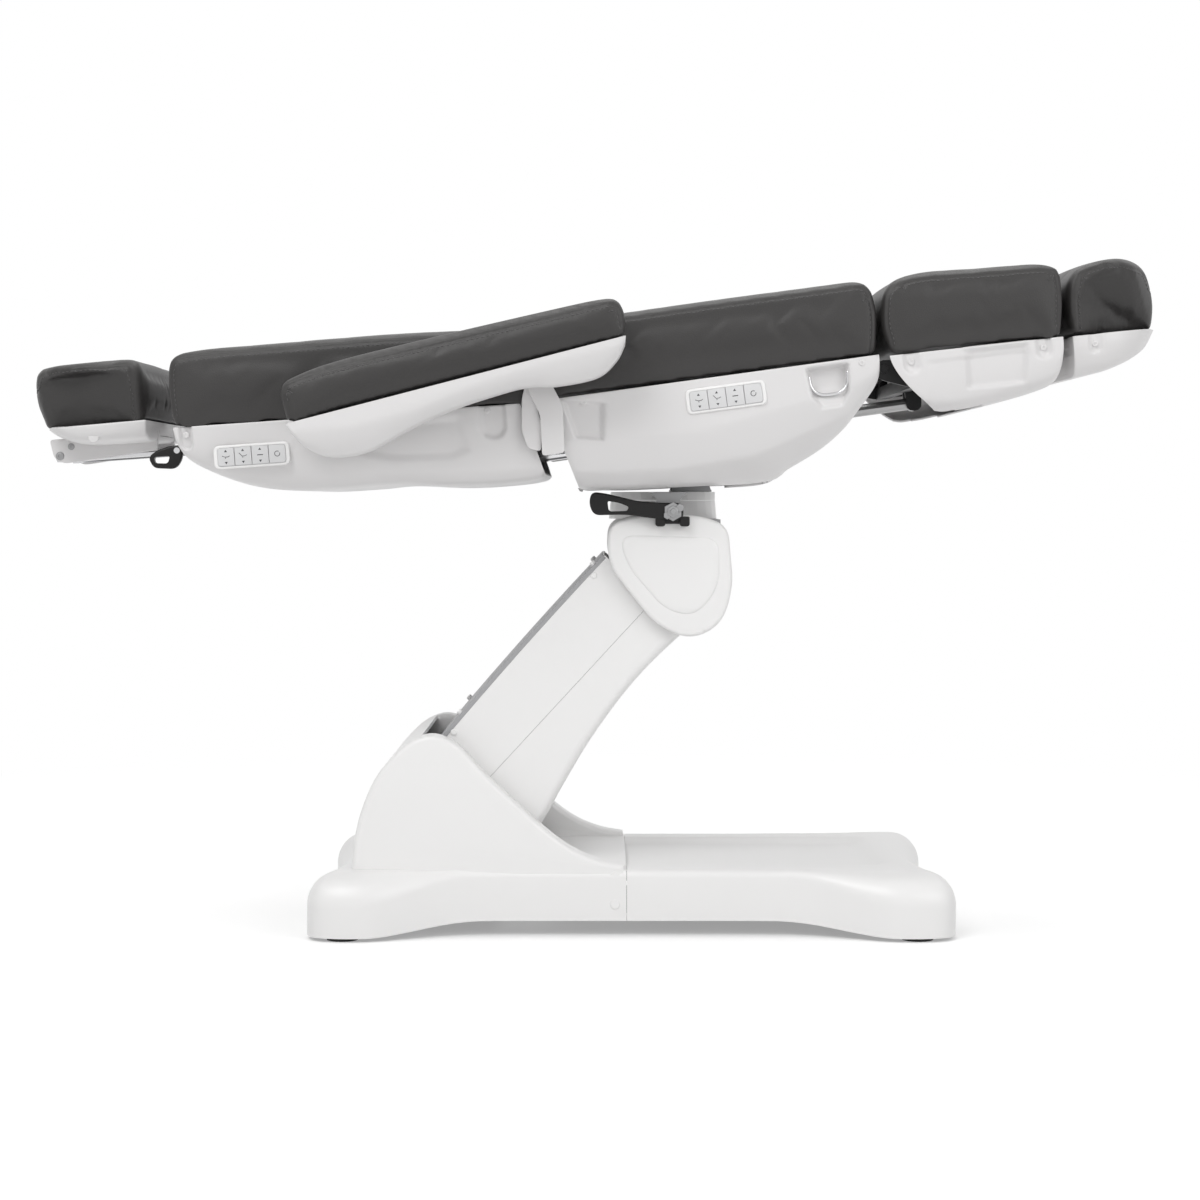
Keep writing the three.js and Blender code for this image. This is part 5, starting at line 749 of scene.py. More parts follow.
def leg_shell():
    """The leg section's shell: a creased side with a recess and two wells, open below at its hinge."""
    shape = together(
        below_line(LEG_CHINE, 0.8, 2.5), dip(LEG_RECESS, 8, 9), well(37, LEG_RIM, 30, 34, 8, 9),
        well(245, LEG_RIM, 30, 34, 8, 9), between_wells,
    )
    points = tub_points(LEG_ROWS, LEG_RIM, lean=1.6, shape=shape)
    shell = tub_piece("leg_shell_moulding", points, LEG, False, True, (LEG_OPENING,))
    shell = carved(shell, *rail_ways(255, 290))
    finished(shell, SHADED_SHELL_WHITE, "legrest", "white_shell", "leg_shell")
    side_screws("leg", "legrest", LEG, [(37, 4, 298, "_37"), (245, 4, 298, "_245")])


def foot_shell():
    """The foot section's shell: a crease along its side, a well, and ways for the slide rails."""
    shape = together(below_line(FOOT_BAND, 0.22, 2.5), well(332, LEG_RIM, 24, 32))
    points = tub_points(FOOT_ROWS, LEG_RIM, shape=shape)
    shell = tub_piece("foot_shell_moulding", points, LEG, True, True)
    shell = carved(shell, *rail_ways(285, 310))
    finished(shell, SHADED_SHELL_WHITE, "footrest", "white_shell", "foot_shell")
    side_screws("foot", "footrest", LEG, [(332, 2, 268, "")])


def armrest_shells():
    """A shell under each armrest, its side leaning in below a groove line."""
    shape = below_line(ARMREST_GROOVE, 0.42, 2.5)
    for side, name in BOTH_SIDES:
        middle = side * ARMREST_MIDDLE
        points = tub_points(ARMREST_ROWS, 0, section=ARMREST_SECTION, centre=middle, shape=shape)
        shell = smoothed(tub_piece(f"armrest_{name}_moulding", points, ARMREST, True, True), SHELL_SMOOTH)
        finished(shell, SHADED_SHELL_WHITE, f"armrest_{name}", "white_shell", f"armrest_{name}_shell")


# Keypads: [body, frame, x0, x1, z0, z1] of the four keys. Faces and depths are y on the near side

KEY_PADS = {
    "seat": ("seat", SEAT, 236, 350, -49, -18), "back": ("back", BACK, -504, -397, -66, -37),
}
KEY_MARKS = [["up", "seat_up", "down"], ["up", "back_up", "down"], ["up", "bar", "down"], ["ring"]]
PLATE_FACE, PLATE_FOOT, POCKET_FLOOR = -308, -298, -302
KEY_FACE, KEY_FOOT = -309.5, -305.6
PLATE_RIM, KEY_GAP, MARK_PITCH = (6, 4), 0.35, 9.5
MARK_FACE, MARK_THICK = -309.6, 0.3


def key_print(x, z, kind, slope):
    """A thin printed mark on a key, 0.1 mm proud: a triangle, a reclining profile, a bar or a ring."""
    thread = MARK_FACE + MARK_THICK / 2
    if kind in ("up", "down", "bar"):
        rise = 1.9 if kind == "up" else -1.9
        path = corner_path([(x - 2.4, z - rise, 0.4), (x + 2.4, z - rise, 0.4), (x, z + rise, 0.5)], 3)
        if kind == "bar":
            path = panel_path(x - 4.5, x + 4.5, z - 0.7, z + 0.7, 0.3, 2)
        return [rounded_plate("print", path, MARK_FACE, MARK_FACE + MARK_THICK, 0.05, slope, 1)]
    if kind == "ring":
        angle = np.linspace(0.3 * math.pi, 2.1 * math.pi, 24)
        line = np.column_stack([x + 4 * np.cos(angle), np.full(24, thread), z + 4 * np.sin(angle)])
        return [tube_along("print", line, 0.55, slope, 6)]
    back_rise = {"seat_up": 0.0, "back_up": 3.2}[kind]
    bed = [(x + a, thread, z + b) for a, b in ((-6, 2 + back_rise), (-1.5, 0), (3, 0), (6, 1.5))]
    foot = [(x - 0.5, thread, z - 0.6), (x - 0.5, thread, z - 2.6)]
    return [tube_along("print", line, 0.5, slope, 6) for line in (bed, foot)]


def key_pads():
    """Each pad is a rounded plate with a pocket; four keys sit in it, each with its printed marks."""
    for pad, (body, slope, x0, x1, low, high) in KEY_PADS.items():
        rim_x, rim_z = PLATE_RIM
        outer = panel_path(x0 - rim_x, x1 + rim_x, low - rim_z, high + rim_z, 10, 8)
        plate = rounded_plate(f"{pad}_key_pad", outer, PLATE_FACE, PLATE_FOOT, 2.2, slope, 5)
        pocket = panel_path(x0, x1, low, high, 5)
        tool = rounded_plate("tool", pocket, PLATE_FACE - 4, POCKET_FLOOR, 0.1, slope, 1)
        finished(carved(plate, tool, sharp=SHELL_SMOOTH), WHITE, body, "white_shell")
        pitch = (x1 - x0) / 4
        for i, marks in enumerate(KEY_MARKS):
            a, b = x0 + i * pitch + KEY_GAP, x0 + (i + 1) * pitch - KEY_GAP
            left, right = (4.6 if i == 0 else 0.8), (4.6 if i == 3 else 0.8)
            path = panel_path(a, b, low + 0.4, high - 0.4, (left, right, right, left), 5)
            key = rounded_plate(f"{pad}_key_cap_{i + 1}", path, KEY_FACE, KEY_FOOT, 0.7, slope, 4)
            finished(key, KEY_PLASTIC, f"{pad}_key_{i + 1}", "key_plastic", f"{pad}_key_{i + 1}")
            prints = []
            for j, kind in enumerate(marks):
                above_middle = MARK_PITCH * ((len(marks) - 1) / 2 - j)
                prints += key_print((a + b) / 2, (low + high) / 2 + above_middle, kind, slope)
            mark = fused(f"{pad}_key_print_{i + 1}", prints)
            finished(mark, ICON, f"{pad}_key_{i + 1}", "key_plastic")


def strap_rings():
    """A bent wire, a U on two short pins: straight drops joined by a half turn of wide, flat curve."""
    x0, x1, axis_y, axis_z, wire, drop = 423.0, 490.0, 294.0, -19.0, 2.5, 34.0
    half, middle = (x1 - x0) / 2 - wire - 1, (x0 + x1) / 2
    angle = np.linspace(0, math.pi, 29)
    bow_x = -half * np.sign(np.cos(angle)) * np.abs(np.cos(angle)) ** 0.75
    bow_z = axis_z - 6 - (drop - 8) * np.sin(angle) ** 0.85
    pin_x = half + np.array([6, 2.5, 0.6, 0])
    pin_z = axis_z - np.array([0, 0, 0.8, 3])
    x, z = np.concatenate([-pin_x, bow_x, pin_x[::-1]]), np.concatenate([pin_z, bow_z, pin_z[::-1]])
    for side, name in BOTH_SIDES:
        path = np.column_stack([middle + x, np.full(len(x), side * axis_y), z])
        ring = tube_along(f"strap_ring_{name}_wire", path, wire, SEAT, 14)
        finished(ring, BRIGHT_STEEL, f"strap_ring_{name}", "bright_steel", f"strap_ring_{name}")


# Base covers: the plan and the cheek are shares of their length and height

BASE_PLAN = [
    (0, 0.787), (0.2, 0.787), (0.4, 0.79), (0.56, 0.82), (0.68, 0.9), (0.79, 0.985), (0.88, 1), (0.96, 0.965),
    (0.995, 0.88), (0.998, 0.78), (0.972, 0.6), (0.945, 0.3), (0.935, 0),
]
BASE_TOP, BASE_SEAM, BASE_LOBE = 108.0, 43.0, 277.0
BASE_HEAD_END, BASE_FOOT_END, SEAM_GAP = -470, 571, 0.3
WAIST_CLEAR, LOBE_CLEAR = 25, 6
EDGE_RUN, LOBE_EDGE_RUN, EDGE_DROP, LOBE_EDGE_DROP = 15, 53, 14, 54
CHANNEL_DEPTH, CHANNEL_FLOOR_HALF, CHANNEL_HALF = 10, 139, 166
COVER_WALL = 4
CHEEK = [
    (0, 0), (0.012, 0.25), (0.04, 0.47), (0.09, 0.69), (0.16, 0.86), (0.22, 0.955), (0.285, 1),
    (0.345, 0.975), (0.4, 0.9), (0.5, 0.685), (0.69, 0.335), (0.8, 0.17), (0.9, 0.085), (0.99, 0.05),
    (1.045, 0.035),
]
CHEEK_HEAD, CHEEK_FOOT, CHEEK_LENGTH, CHEEK_HEIGHT, CHEEK_ROOT = -401, 104, 444, 221, 70
CHEEK_IN, CHEEK_OUT = 174, 216
ARM_WAY, INLET_WAY = (-394, -82, -CHEEK_IN, CHEEK_IN, 60, 130), (-475, -400, -24.3, 24.3, 37.7, 64.3)
HOOD_HALF, HOOD_END, HOOD_WALL = 180, -288, 5
# A black sheet just inside the hood: painted shade in the hollow under it.
SHADE_SHEET_HALF, SHADE_SHEET_END, SHADE_SHEET_FOOT, SHADE_SHEET_GAP = 172, -292, 60, 9
SEAM_CAP_X, SEAM_CAP_RADIUS, SEAM_CAPS = 24, 7.8, ((51.5, 217.4), (97, 215.2))  # each cap's [z, face]


def base_half(name, end, channel):
    """Half of the base cover, ruled from its plan to points on the middle line.

    The wall rises from a lower edge that drops from the waist's clearance to the lobes'. Above it the height
    follows the distance d in from the plan: a quarter ellipse, small at the waist and broad over the lobes,
    then level, and sunk along a channel with sloping sides.
    """
    length = end - BASE_SEAM
    sign = math.copysign(1, length)
    plan = spline(BASE_PLAN, 130)
    x = BASE_SEAM + sign * SEAM_GAP + plan[:, 0] * (length - sign * SEAM_GAP)
    y = plan[:, 1] * BASE_LOBE
    from_seam = lambda px: np.abs(px - BASE_SEAM) / abs(length)
    lobe = lambda px: step(from_seam(px), 0.5, 0.84)
    clear = WAIST_CLEAR + (LOBE_CLEAR - WAIST_CLEAR) * step(from_seam(x), 0.45, 0.82)
    run = lambda px: EDGE_RUN + (LOBE_EDGE_RUN - EDGE_RUN) * lobe(px)
    drop = lambda px: EDGE_DROP + (LOBE_EDGE_DROP - EDGE_DROP) * lobe(px)
    outline = np.column_stack([x, y])
    beyond = BASE_SEAM - sign * 400
    open_outline = np.concatenate([[(beyond, y[0])], outline, outline[::-1][1:] * [1, -1], [(beyond, -y[0])]])
    spine_x = BASE_SEAM + sign * np.minimum(np.abs(x - BASE_SEAM), abs(length) * 0.86)
    grid = [np.column_stack([x, y, clear + (BASE_TOP - drop(x) - clear) * t]) for t in np.linspace(0, 1, 10)]
    for t in np.concatenate([0.3 * np.linspace(0.02, 1, 26) ** 1.6, np.linspace(0.34, 1, 16)]):
        px, py = x + (spine_x - x) * t, y * (1 - t)
        depth = np.maximum(distance_inside(px, py, open_outline), 0)
        rise = np.sqrt(np.clip(1 - (1 - np.minimum(depth / run(px), 1)) ** 2, 0, 1))
        z = BASE_TOP - drop(px) * (1 - rise)
        if channel:
            along = 1 - step(from_seam(px), 0.74, 0.82)
            z = z - CHANNEL_DEPTH * along * (1 - step(np.abs(py), CHANNEL_FLOOR_HALF, CHANNEL_HALF))
        grid.append(np.column_stack([px, py, z]))
    far = np.array(grid)
    skins = [surface_piece("half", part) for part in (far * [1, -1, 1], far)]
    cover = outward(fused(name, skins))
    if sum(f.normal.z * f.area for f in cover.data.polygons) < 0:
        cover.data.flip_normals()
    return with_wall(cover, COVER_WALL)


def cross_sheet(name, path, half, count):
    """A sheet carried across the table along a path of points (x, z)."""
    across = np.linspace(-half, half, count)
    return surface_piece(name, np.stack([
        np.column_stack([np.full(count, x), across, np.full(count, z)]) for x, z in path
    ]))


def base_covers():
    """The two halves of the cover; the head half also has the cheeks and the hood over the arm's foot."""
    curve = spline([(CHEEK_HEAD + a * CHEEK_LENGTH, CHEEK_FOOT + b * CHEEK_HEIGHT) for a, b in CHEEK], 90)
    ways = [box_tool(*way) for way in (ARM_WAY, INLET_WAY)]
    head = carved(base_half("base_cover_head_moulding", BASE_HEAD_END, False), *ways)
    edge = curve[curve[:, 0] < BASE_SEAM - 0.5]
    cheek = anticlockwise(np.concatenate([[(edge[0][0], CHEEK_ROOT)], edge, [(edge[-1][0], CHEEK_ROOT)]]))
    cheeks = [
        rounded_plate(f"cheek_{name}", cheek, *sorted((side * CHEEK_IN, side * CHEEK_OUT)), 9, steps=6)
        for side, name in BOTH_SIDES
    ]
    over_arm = curve[curve[:, 0] < HOOD_END]
    hood = cross_sheet("hood", [(over_arm[0][0], CHEEK_ROOT), *over_arm], HOOD_HALF, 25)
    low_on_head_end = hood.data.polygons[40]
    if low_on_head_end.normal.x > 0:
        hood.data.flip_normals()
    hood = with_wall(hood, HOOD_WALL)
    # A black sheet under the hood, inset from its curve: painted shade for the hollow seen through the arm's
    # opening.
    inner = curve[curve[:, 0] < SHADE_SHEET_END]
    closed = np.concatenate([inner, [(SHADE_SHEET_END, SHADE_SHEET_FOOT), (CHEEK_HEAD, SHADE_SHEET_FOOT)]])[::-1]
    drawn = inset_path(closed, SHADE_SHEET_GAP)[::-1][: len(inner)]
    shade_sheet = smoothed(with_wall(cross_sheet("hood_shade_sheet", drawn, SHADE_SHEET_HALF, 9), 2, 0), SHELL_SMOOTH)
    finished(shade_sheet, BLACK_PLASTIC, "base", "black_plastic")
    cover = fused("base_cover_head_moulding_whole", [head, *cheeks, hood], SHELL_SMOOTH)
    finished(cover, WHITE, "base", "white_shell", "base_cover_head")
    foot = smoothed(base_half("base_cover_foot_moulding", BASE_FOOT_END, True), SHELL_SMOOTH)
    finished(foot, WHITE, "base", "white_shell", "base_cover_foot")
    for side, name in BOTH_SIDES:
        for i, (z, face) in enumerate(SEAM_CAPS):
            profile = eased_disc(SEAM_CAP_RADIUS, *sorted((side * face, side * (face + 2))), 0.9)
            cap = turned(f"base_cap_{name}_{i + 1}", profile, (SEAM_CAP_X, 0, z), axis="y")
            finished(cap, WHITE, "base", "white_shell")


# Lift arm covers, along the arm: the lower one's depth as shares

BELLY = [(0, 1), (0.1, 0.95), (0.25, 0.82), (0.42, 0.69), (0.6, 0.6), (0.75, 0.565), (0.88, 0.575), (1, 0.61)]
BELLY_DEPTH = 118
ARM_START, UPPER_END, LOWER_END, ARM_HALF, ARM_WALL = 62, 488, 482, 160, 4
UPPER_EDGE, LOWER_EDGE = -18.8, -19.3
CREST_RUN, CREST_START, CREST_BOW, CREST_RISE = 444, 82, 14, 8
STRIP_DEPTH, STRIP_RISE, STRIP_HALF = 6, 1, 160.8
LIFT_ROD_WAY = (50, 96, -32, 32, -150, -78)
# [end, u of the cap on top, u of the one on the side, height]
ARM_CAPS = (("foot", 139, 109, 86.27), ("head", 465, 452, 91.54))


def channel_skin(name, u, edge, crest, radius):
    """A channel: at each station u it goes from the edge up the side, round the corner and over the top."""
    turn = np.linspace(0, math.pi / 2, 9)
    sign = np.sign(np.mean(crest - edge))
    side_z = np.linspace(0, 1, 9)[:-1]
    rows = []
    for station, high in zip(u, crest):
        r = min(radius, abs(high - edge) * 0.9)
        corner = high - sign * r
        y = [*np.full(8, ARM_HALF), *(ARM_HALF - r + r * np.cos(turn)), *np.linspace(ARM_HALF - r, 0, 9)[1:]]
        z = [*(edge + (corner - edge) * side_z), *(corner + sign * r * np.sin(turn)), *np.full(8, high)]
        y, z = np.array(y), np.array(z)
        y, z = np.concatenate([-y, y[::-1][1:]]), np.concatenate([z, z[::-1][1:]])
        rows.append(np.column_stack([np.full(len(y), station), y, z]))
    skin = surface_piece(name, np.array(rows), ARM)
    out = Vector(placed(np.array([0.0, 0.0, float(sign)]), (0, 0, ARM[2])))
    if sum(p.normal.dot(out) * p.area for p in skin.data.polygons) < 0:
        skin.data.flip_normals()
    return with_wall(skin, ARM_WALL)


def arm_covers():
    """An upper and a lower channel round the steel arm, a grey strip of painted shade over the top, and their
    caps.
    """
    u = np.linspace(ARM_START, UPPER_END, 90)
    share = (u - ARM_START) / CREST_RUN
    crest = CREST_START + CREST_BOW * share * (1 - share) + CREST_RISE * share
    upper = channel_skin("arm_cover_upper_moulding", u, UPPER_EDGE, crest, 6)
    finished(smoothed(upper, SHELL_SMOOTH), WHITE, "arm", "white_shell", "arm_cover_upper")
    # A grey strip laid along the white cover's crest: painted shade where its top face is seen at a grazing
    # angle.
    strip_u = np.concatenate([[u[0] + 2], u[1:-1], [u[-1] - 2]])
    under, over = (np.column_stack([strip_u, crest + rise]) for rise in (-STRIP_DEPTH, STRIP_RISE))
    strip = np.concatenate([under, over[::-1]])
    shade_strip = rounded_plate("arm_top_shade_strip", strip, -STRIP_HALF, STRIP_HALF, 0.8, ARM, 3)
    finished(shade_strip, SHADE_STRIP_GREY, "arm", "white_shell")
    u = np.linspace(ARM_START, LOWER_END, 90)
    depth = np.interp((u - ARM_START) / (LOWER_END - ARM_START), *spline(BELLY, 120).T) * BELLY_DEPTH
    lower = channel_skin("arm_cover_lower_moulding", u, LOWER_EDGE, LOWER_EDGE - depth, 16)
    lower = carved(lower, box_tool(*LIFT_ROD_WAY, ARM), sharp=SHELL_SMOOTH)
    finished(lower, WHITE, "arm", "white_shell", "arm_cover_lower")
    for end, top_u, side_u, high in ARM_CAPS:
        for side, name in BOTH_SIDES:
            standing = eased_disc(CAP_RADIUS, high - 3, high + 6, 2)
            lying = eased_disc(CAP_RADIUS, *sorted((side * 158, side * 162.4)), 1.2)
            top = turned(f"arm_cap_{end}_{name}_top", standing, (top_u, side * 150, 0), "z", ARM)
            beside = turned(f"arm_cap_{end}_{name}_side", lying, (side_u, 0, high - 12), "y", ARM)
            finished(top, WHITE, "arm", "white_shell")
            finished(beside, WHITE, "arm", "white_shell")


# Arm head covers, levers and hinge covers: outlines [x, z, corner radius]

EAR = [
    (11, 600, 80), (14, 666, 40), (60, 680, 20), (160, 678, 20), (207, 662, 34), (216, 560, 60),
    (196, 500, 40), (146, 476, 50), (90, 500, 40),
]
EAR_IN, EAR_OUT, EAR_ROUND = 165, 188, 7
EAR_PANEL = [
    (30, 646, 26), (192, 642, 26), (193, 560, 50), (152, 514, 34), (104, 526, 34), (44, 596, 50),
]
PANEL_FOOT, PANEL_SLOPE, PANEL_RISE = 187.6, 12, 3.9
LOCK_HANDLE = [
    (-14, 716, 14), (10, 713, 8), (60, 701, 8), (100, 698, 8), (134, 698, 14), (134, 669, 14), (100, 671, 6),
    (40, 679, 10), (-10, 678, 16), (-18, 696, 14),
]
LOCK_SLOT = [(12, 701, 4), (30, 698, 5), (46, 692, 5), (44, 685, 5), (14, 684, 6)]
LOCK_NUTS = (  # [x, z, radius, face, foot]
    (117, 684, 15.5, -212, -203), (117, 684, 10, -217, -210), (128, 690, 7, -216, -205),
    (108, 678, 6.5, -215, -205),
)
LOCK_FEET = (97, 136)
HEAD_HANDLE = [
    (-582, -23, 8), (-584, -45, 12), (-596, -61, 10), (-632, -57, 8), (-640, -39, 10), (-626, -29, 8),
    (-600, -22, 8),
]
HEAD_SLOT = [(-604, -39, 4), (-608, -51, 5), (-630, -49, 6), (-630, -39, 6)]
SEAT_HINGE_COVER = [
    (-112, 898, 12), (-84, 899, 12), (-58, 850, 10), (-55, 776, 6), (-90, 771, 6), (-93, 835, 10),
    (-112, 872, 8),
]
BACK_HINGE_COVER = [
    (-112, 898, 12), (-84, 898, 12), (-84, 872, 8), (-90, 835, 8), (-92, 778, 6), (-112, 783, 6),
    (-122, 810, 8), (-122, 860, 10),
]
HINGE_COVERS = (("back", BACK_HINGE_COVER, 312.2, 318.3), ("seat", SEAT_HINGE_COVER, 318.45, 325))


def arm_head_covers():
    """An ear on each side of the arm's head, with a raised panel whose edge rises as a quarter ellipse."""
    ear, panel = corner_path(EAR, 10), corner_path(EAR_PANEL, 8)
    angles = np.linspace(0.12, math.pi / 2, 8)
    rings = [(panel, -4.0)]
    rings += [(inset_path(panel, PANEL_SLOPE * (1 - math.cos(t))), PANEL_RISE * math.sin(t)) for t in angles]
    for side, name in BOTH_SIDES:
        body = rounded_plate("ear", ear, *sorted((side * EAR_IN, side * EAR_OUT)), EAR_ROUND, steps=6)
        hill = np.array([
            np.column_stack([ring[:, 0], np.full(len(ring), side * (PANEL_FOOT + rise)), ring[:, 1]])
            for ring, rise in rings
        ])
        raised = surface_piece("panel", hill, wrap_columns=True, capped=True, sharp=50)
        cover = fused(f"head_cover_{name}_moulding", [body, raised], SHELL_SMOOTH)
        finished(cover, WHITE, "level_head", "white_shell", f"head_cover_{name}")


def levers():
    """Two flat black levers with a slot in each. The swivel lock's has a clamp of nuts and two feet."""
    for name, handle, slot, slope, foot, face in (
        ("lock_lever", LOCK_HANDLE, LOCK_SLOT, LEVEL, -209, -196),
        ("head_lever", HEAD_HANDLE, HEAD_SLOT, BACK, -160, -147),
    ):
        lever = rounded_plate(f"{name}_handle", corner_path(handle), foot, face, 3.2, slope)
        tool = rounded_plate("tool", corner_path(slot), foot - 6, face + 6, 0.1, slope, 1)
        lever = carved(lever, tool, sharp=SHELL_SMOOTH)
        finished(lever, BLACK_PLASTIC, name, "black_plastic", name)
    clamp = [
        turned("nut", eased_disc(radius, face, foot, 1.2, 3), (x, 0, z), "y", sides=6, sharp=25)
        for x, z, radius, face, foot in LOCK_NUTS
    ]
    x, z, *_ = LOCK_NUTS[0]
    clamp.append(turned("bolt", eased_disc(5, -221, -214, 1.5), (x, 0, z), "y", sides=24))
    finished(fused("lock_lever_clamp", clamp, 25), GREY_STEEL, "lock_lever", "bright_steel")
    for i, x in enumerate(LOCK_FEET):
        path = panel_path(x - 8, x + 8, 660, 676, (5, 5, 3, 3))
        foot = rounded_plate(f"lock_lever_foot_{i + 1}", path, -207, -192, 2)
        finished(foot, BLACK_PLASTIC, "level_head", "black_plastic")


def hinge_covers():
    """Light cover panels over the hinge ears, between the shells and the armrests."""
    for side, name in BOTH_SIDES:
        for body, outline, inner, outer in HINGE_COVERS:
            low, high = sorted((side * inner, side * outer))
            cover = rounded_plate(f"{body}_hinge_cover_{name}", corner_path(outline), low, high, 1.2)
            finished(cover, SHADED_SHELL_WHITE, body, "white_shell")


# Cushions: each one's frame, half width, middle and side outline [x, z, corner radius]

ARMREST_SIDE = [
    (2, 0.3, 5), (2, 48, 16), (13, 63, 24), (62, 70, 40), (122, 71.5, 40), (300, 68, 80), (500, 63, 30),
    (537, 60, 18), (544, 34, 14), (537, 0.3, 5),
]
CUSHIONS = {
    "seat": (SEAT, 308, 0, [
        (6.4, 0.3, 5), (6.4, 28, 6), (71, 117.5, 24), (300, 119.5, 90), (542, 118, 42), (549.5, 62, 36),
        (537, 0.3, 8),
    ]),
    "back": (BACK, 308, 0, [
        (-574, 0.3, 5), (-579, 52, 30), (-574, 113, 24), (-515, 119, 40), (-200, 122.5, 80), (-72, 117.5, 24),
        (-3, 30, 6), (-3, 0.3, 5),
    ]),
    "leg": (LEG, 308, 0, [
        (5, 17.3, 6), (-7, 60, 26), (3, 130, 44), (62, 141.5, 36), (252, 134, 36), (286, 126, 34),
        (286, 66, 30), (277, 17.3, 6),
    ]),
    "foot": (LEG, 280, 0, [
        (294, 17.3, 6), (289, 60, 26), (297, 116, 38), (345, 130, 40), (405, 132, 40), (458, 118, 44),
        (466, 60, 30), (458, 17.3, 8),
    ]),
    "head": (HEAD, 190, 0, [
        (-214, 0.3, 6), (-229, 58, 26), (-224, 98, 30), (-160, 98, 40), (-60, 99, 30), (-27, 97, 20),
        (-27, 0.3, 5),
    ]),
    "armrest_near": (ARMREST, 50, -ARMREST_MIDDLE, ARMREST_SIDE),
    "armrest_far": (ARMREST, 50, ARMREST_MIDDLE, ARMREST_SIDE),
}
# Plans of the pads with a round end: [x0, x1, half width], then the corners at the head and the foot end
ROUND_PLANS = {
    "foot": ((287, 467, 280), (18, 18), (98, 205)), "head": ((-231, -25, 190), (96, 120), (18, 18)),
}
SEAM_POSTS = {"foot": 319.0, "head": -52.0}
SLIM = 100  # a pad narrower than this on each side is an armrest's
PAD_BODIES = {"head": "headrest", "leg": "legrest", "foot": "footrest"}
RIM_ROUND = 13.0
FLAT_FOOT = 32  # within this height of its foot a pad's rim is pressed square again
END_DEPTH = 30  # the plan's round end follows the side outline no further in than this
PUFF_DRAW, PUFF_LIMIT, SIDE_DRAW = 1.5, 2.5, 2.5
CROWN_AND_VOXEL, SLIM_CROWN_AND_VOXEL = (8, 6.0), (3, 5.0)
SEAM_INSET, STITCH_INSET = 8.0, 12.5
CLOTH = {
    "quality": 4, "mass": 0.3, "use_pressure": True, "uniform_pressure_force": 4.0, "tension_stiffness": 20,
    "compression_stiffness": 20, "bending_stiffness": 0.6,
}
CLOTH_STEPS = 20


def rounded_rectangle(x0, x1, half, head_corner, foot_corner, arc=16, sides=40):
    """A plan outline with elliptic corners, anticlockwise from the foot end's far side."""
    points = []
    ends = [(x1, 1, foot_corner), (x0, 1, head_corner), (x0, -1, head_corner), (x1, -1, foot_corner)]
    for quarter, (x, side, (rx, ry)) in enumerate(ends):
        inward = -1 if x == x1 else 1
        turn = (quarter + np.linspace(0, 1, arc + 1)) * math.pi / 2
        middle_x, middle_y = x + inward * rx, side * (half - ry)
        points.append(np.column_stack([middle_x + rx * np.cos(turn), middle_y + ry * np.sin(turn)]))
    closed = []
    for here, ahead in zip(points, points[1:] + points[:1]):
        closed.append(here)
        t = np.linspace(0, 1, sides + 1)[1:-1, None]
        closed.append(here[-1] + (ahead[0] - here[-1]) * t)
    return np.concatenate(closed)


def local_points(piece, slope):
    """A piece's points back in the slanted frame, in millimetres."""
    x, y, z = (vertex_array(piece, "co") / MM).T
    turn = math.radians(slope[2])
    x, z = x - slope[0], z - slope[1]
    cos, sin = math.cos(turn), math.sin(turn)
    return np.column_stack([x * cos + z * sin, y, z * cos - x * sin])


def cushion_form(name, slope, half, centre, side, draw):
    """A pad: its side outline carried across and rounded at both rims above the foot.

    At a round end the width follows an ellipse, measured at each height from the side outline's own end.
    """
    path = inset_path(corner_path(side, 10), draw)
    pad = rounded_plate(f"{name}_pad", path, centre - half + draw, centre + half - draw, RIM_ROUND, slope, 6)
    points = local_points(pad, slope)
    low = path[:, 1].min()
    beside = np.clip((np.abs(points[:, 1] - centre) - (half - draw - RIM_ROUND)) / RIM_ROUND, 0, 1)
    lifted = 0.9 * RIM_ROUND * (1 - np.sqrt(1 - beside**2))
    points[:, 2] -= lifted * np.clip((low + FLAT_FOOT - points[:, 2]) / (FLAT_FOOT - lifted), 0, 1)
    if name in ROUND_PLANS:
        _, head, foot = ROUND_PLANS[name]
        toward, (rx, ry) = (1, foot) if name == "foot" else (-1, head)
        x, z = (path * [toward, 1]).T
        deepest = x.max() - END_DEPTH
        levels = np.linspace(low, z.max(), 60)
        reach = np.array([x[np.abs(z - level) < 5].max(initial=deepest) for level in levels])
        end_x = np.maximum(np.interp(points[:, 2], levels, reach), deepest)
        from_end = np.clip(end_x - toward * points[:, 0], 0, rx)
        points[:, 1] *= (half - ry + ry * np.sqrt(1 - ((rx - from_end) / rx) ** 2)) / half
    move_vertices(pad, placed(points, slope))
    return pad


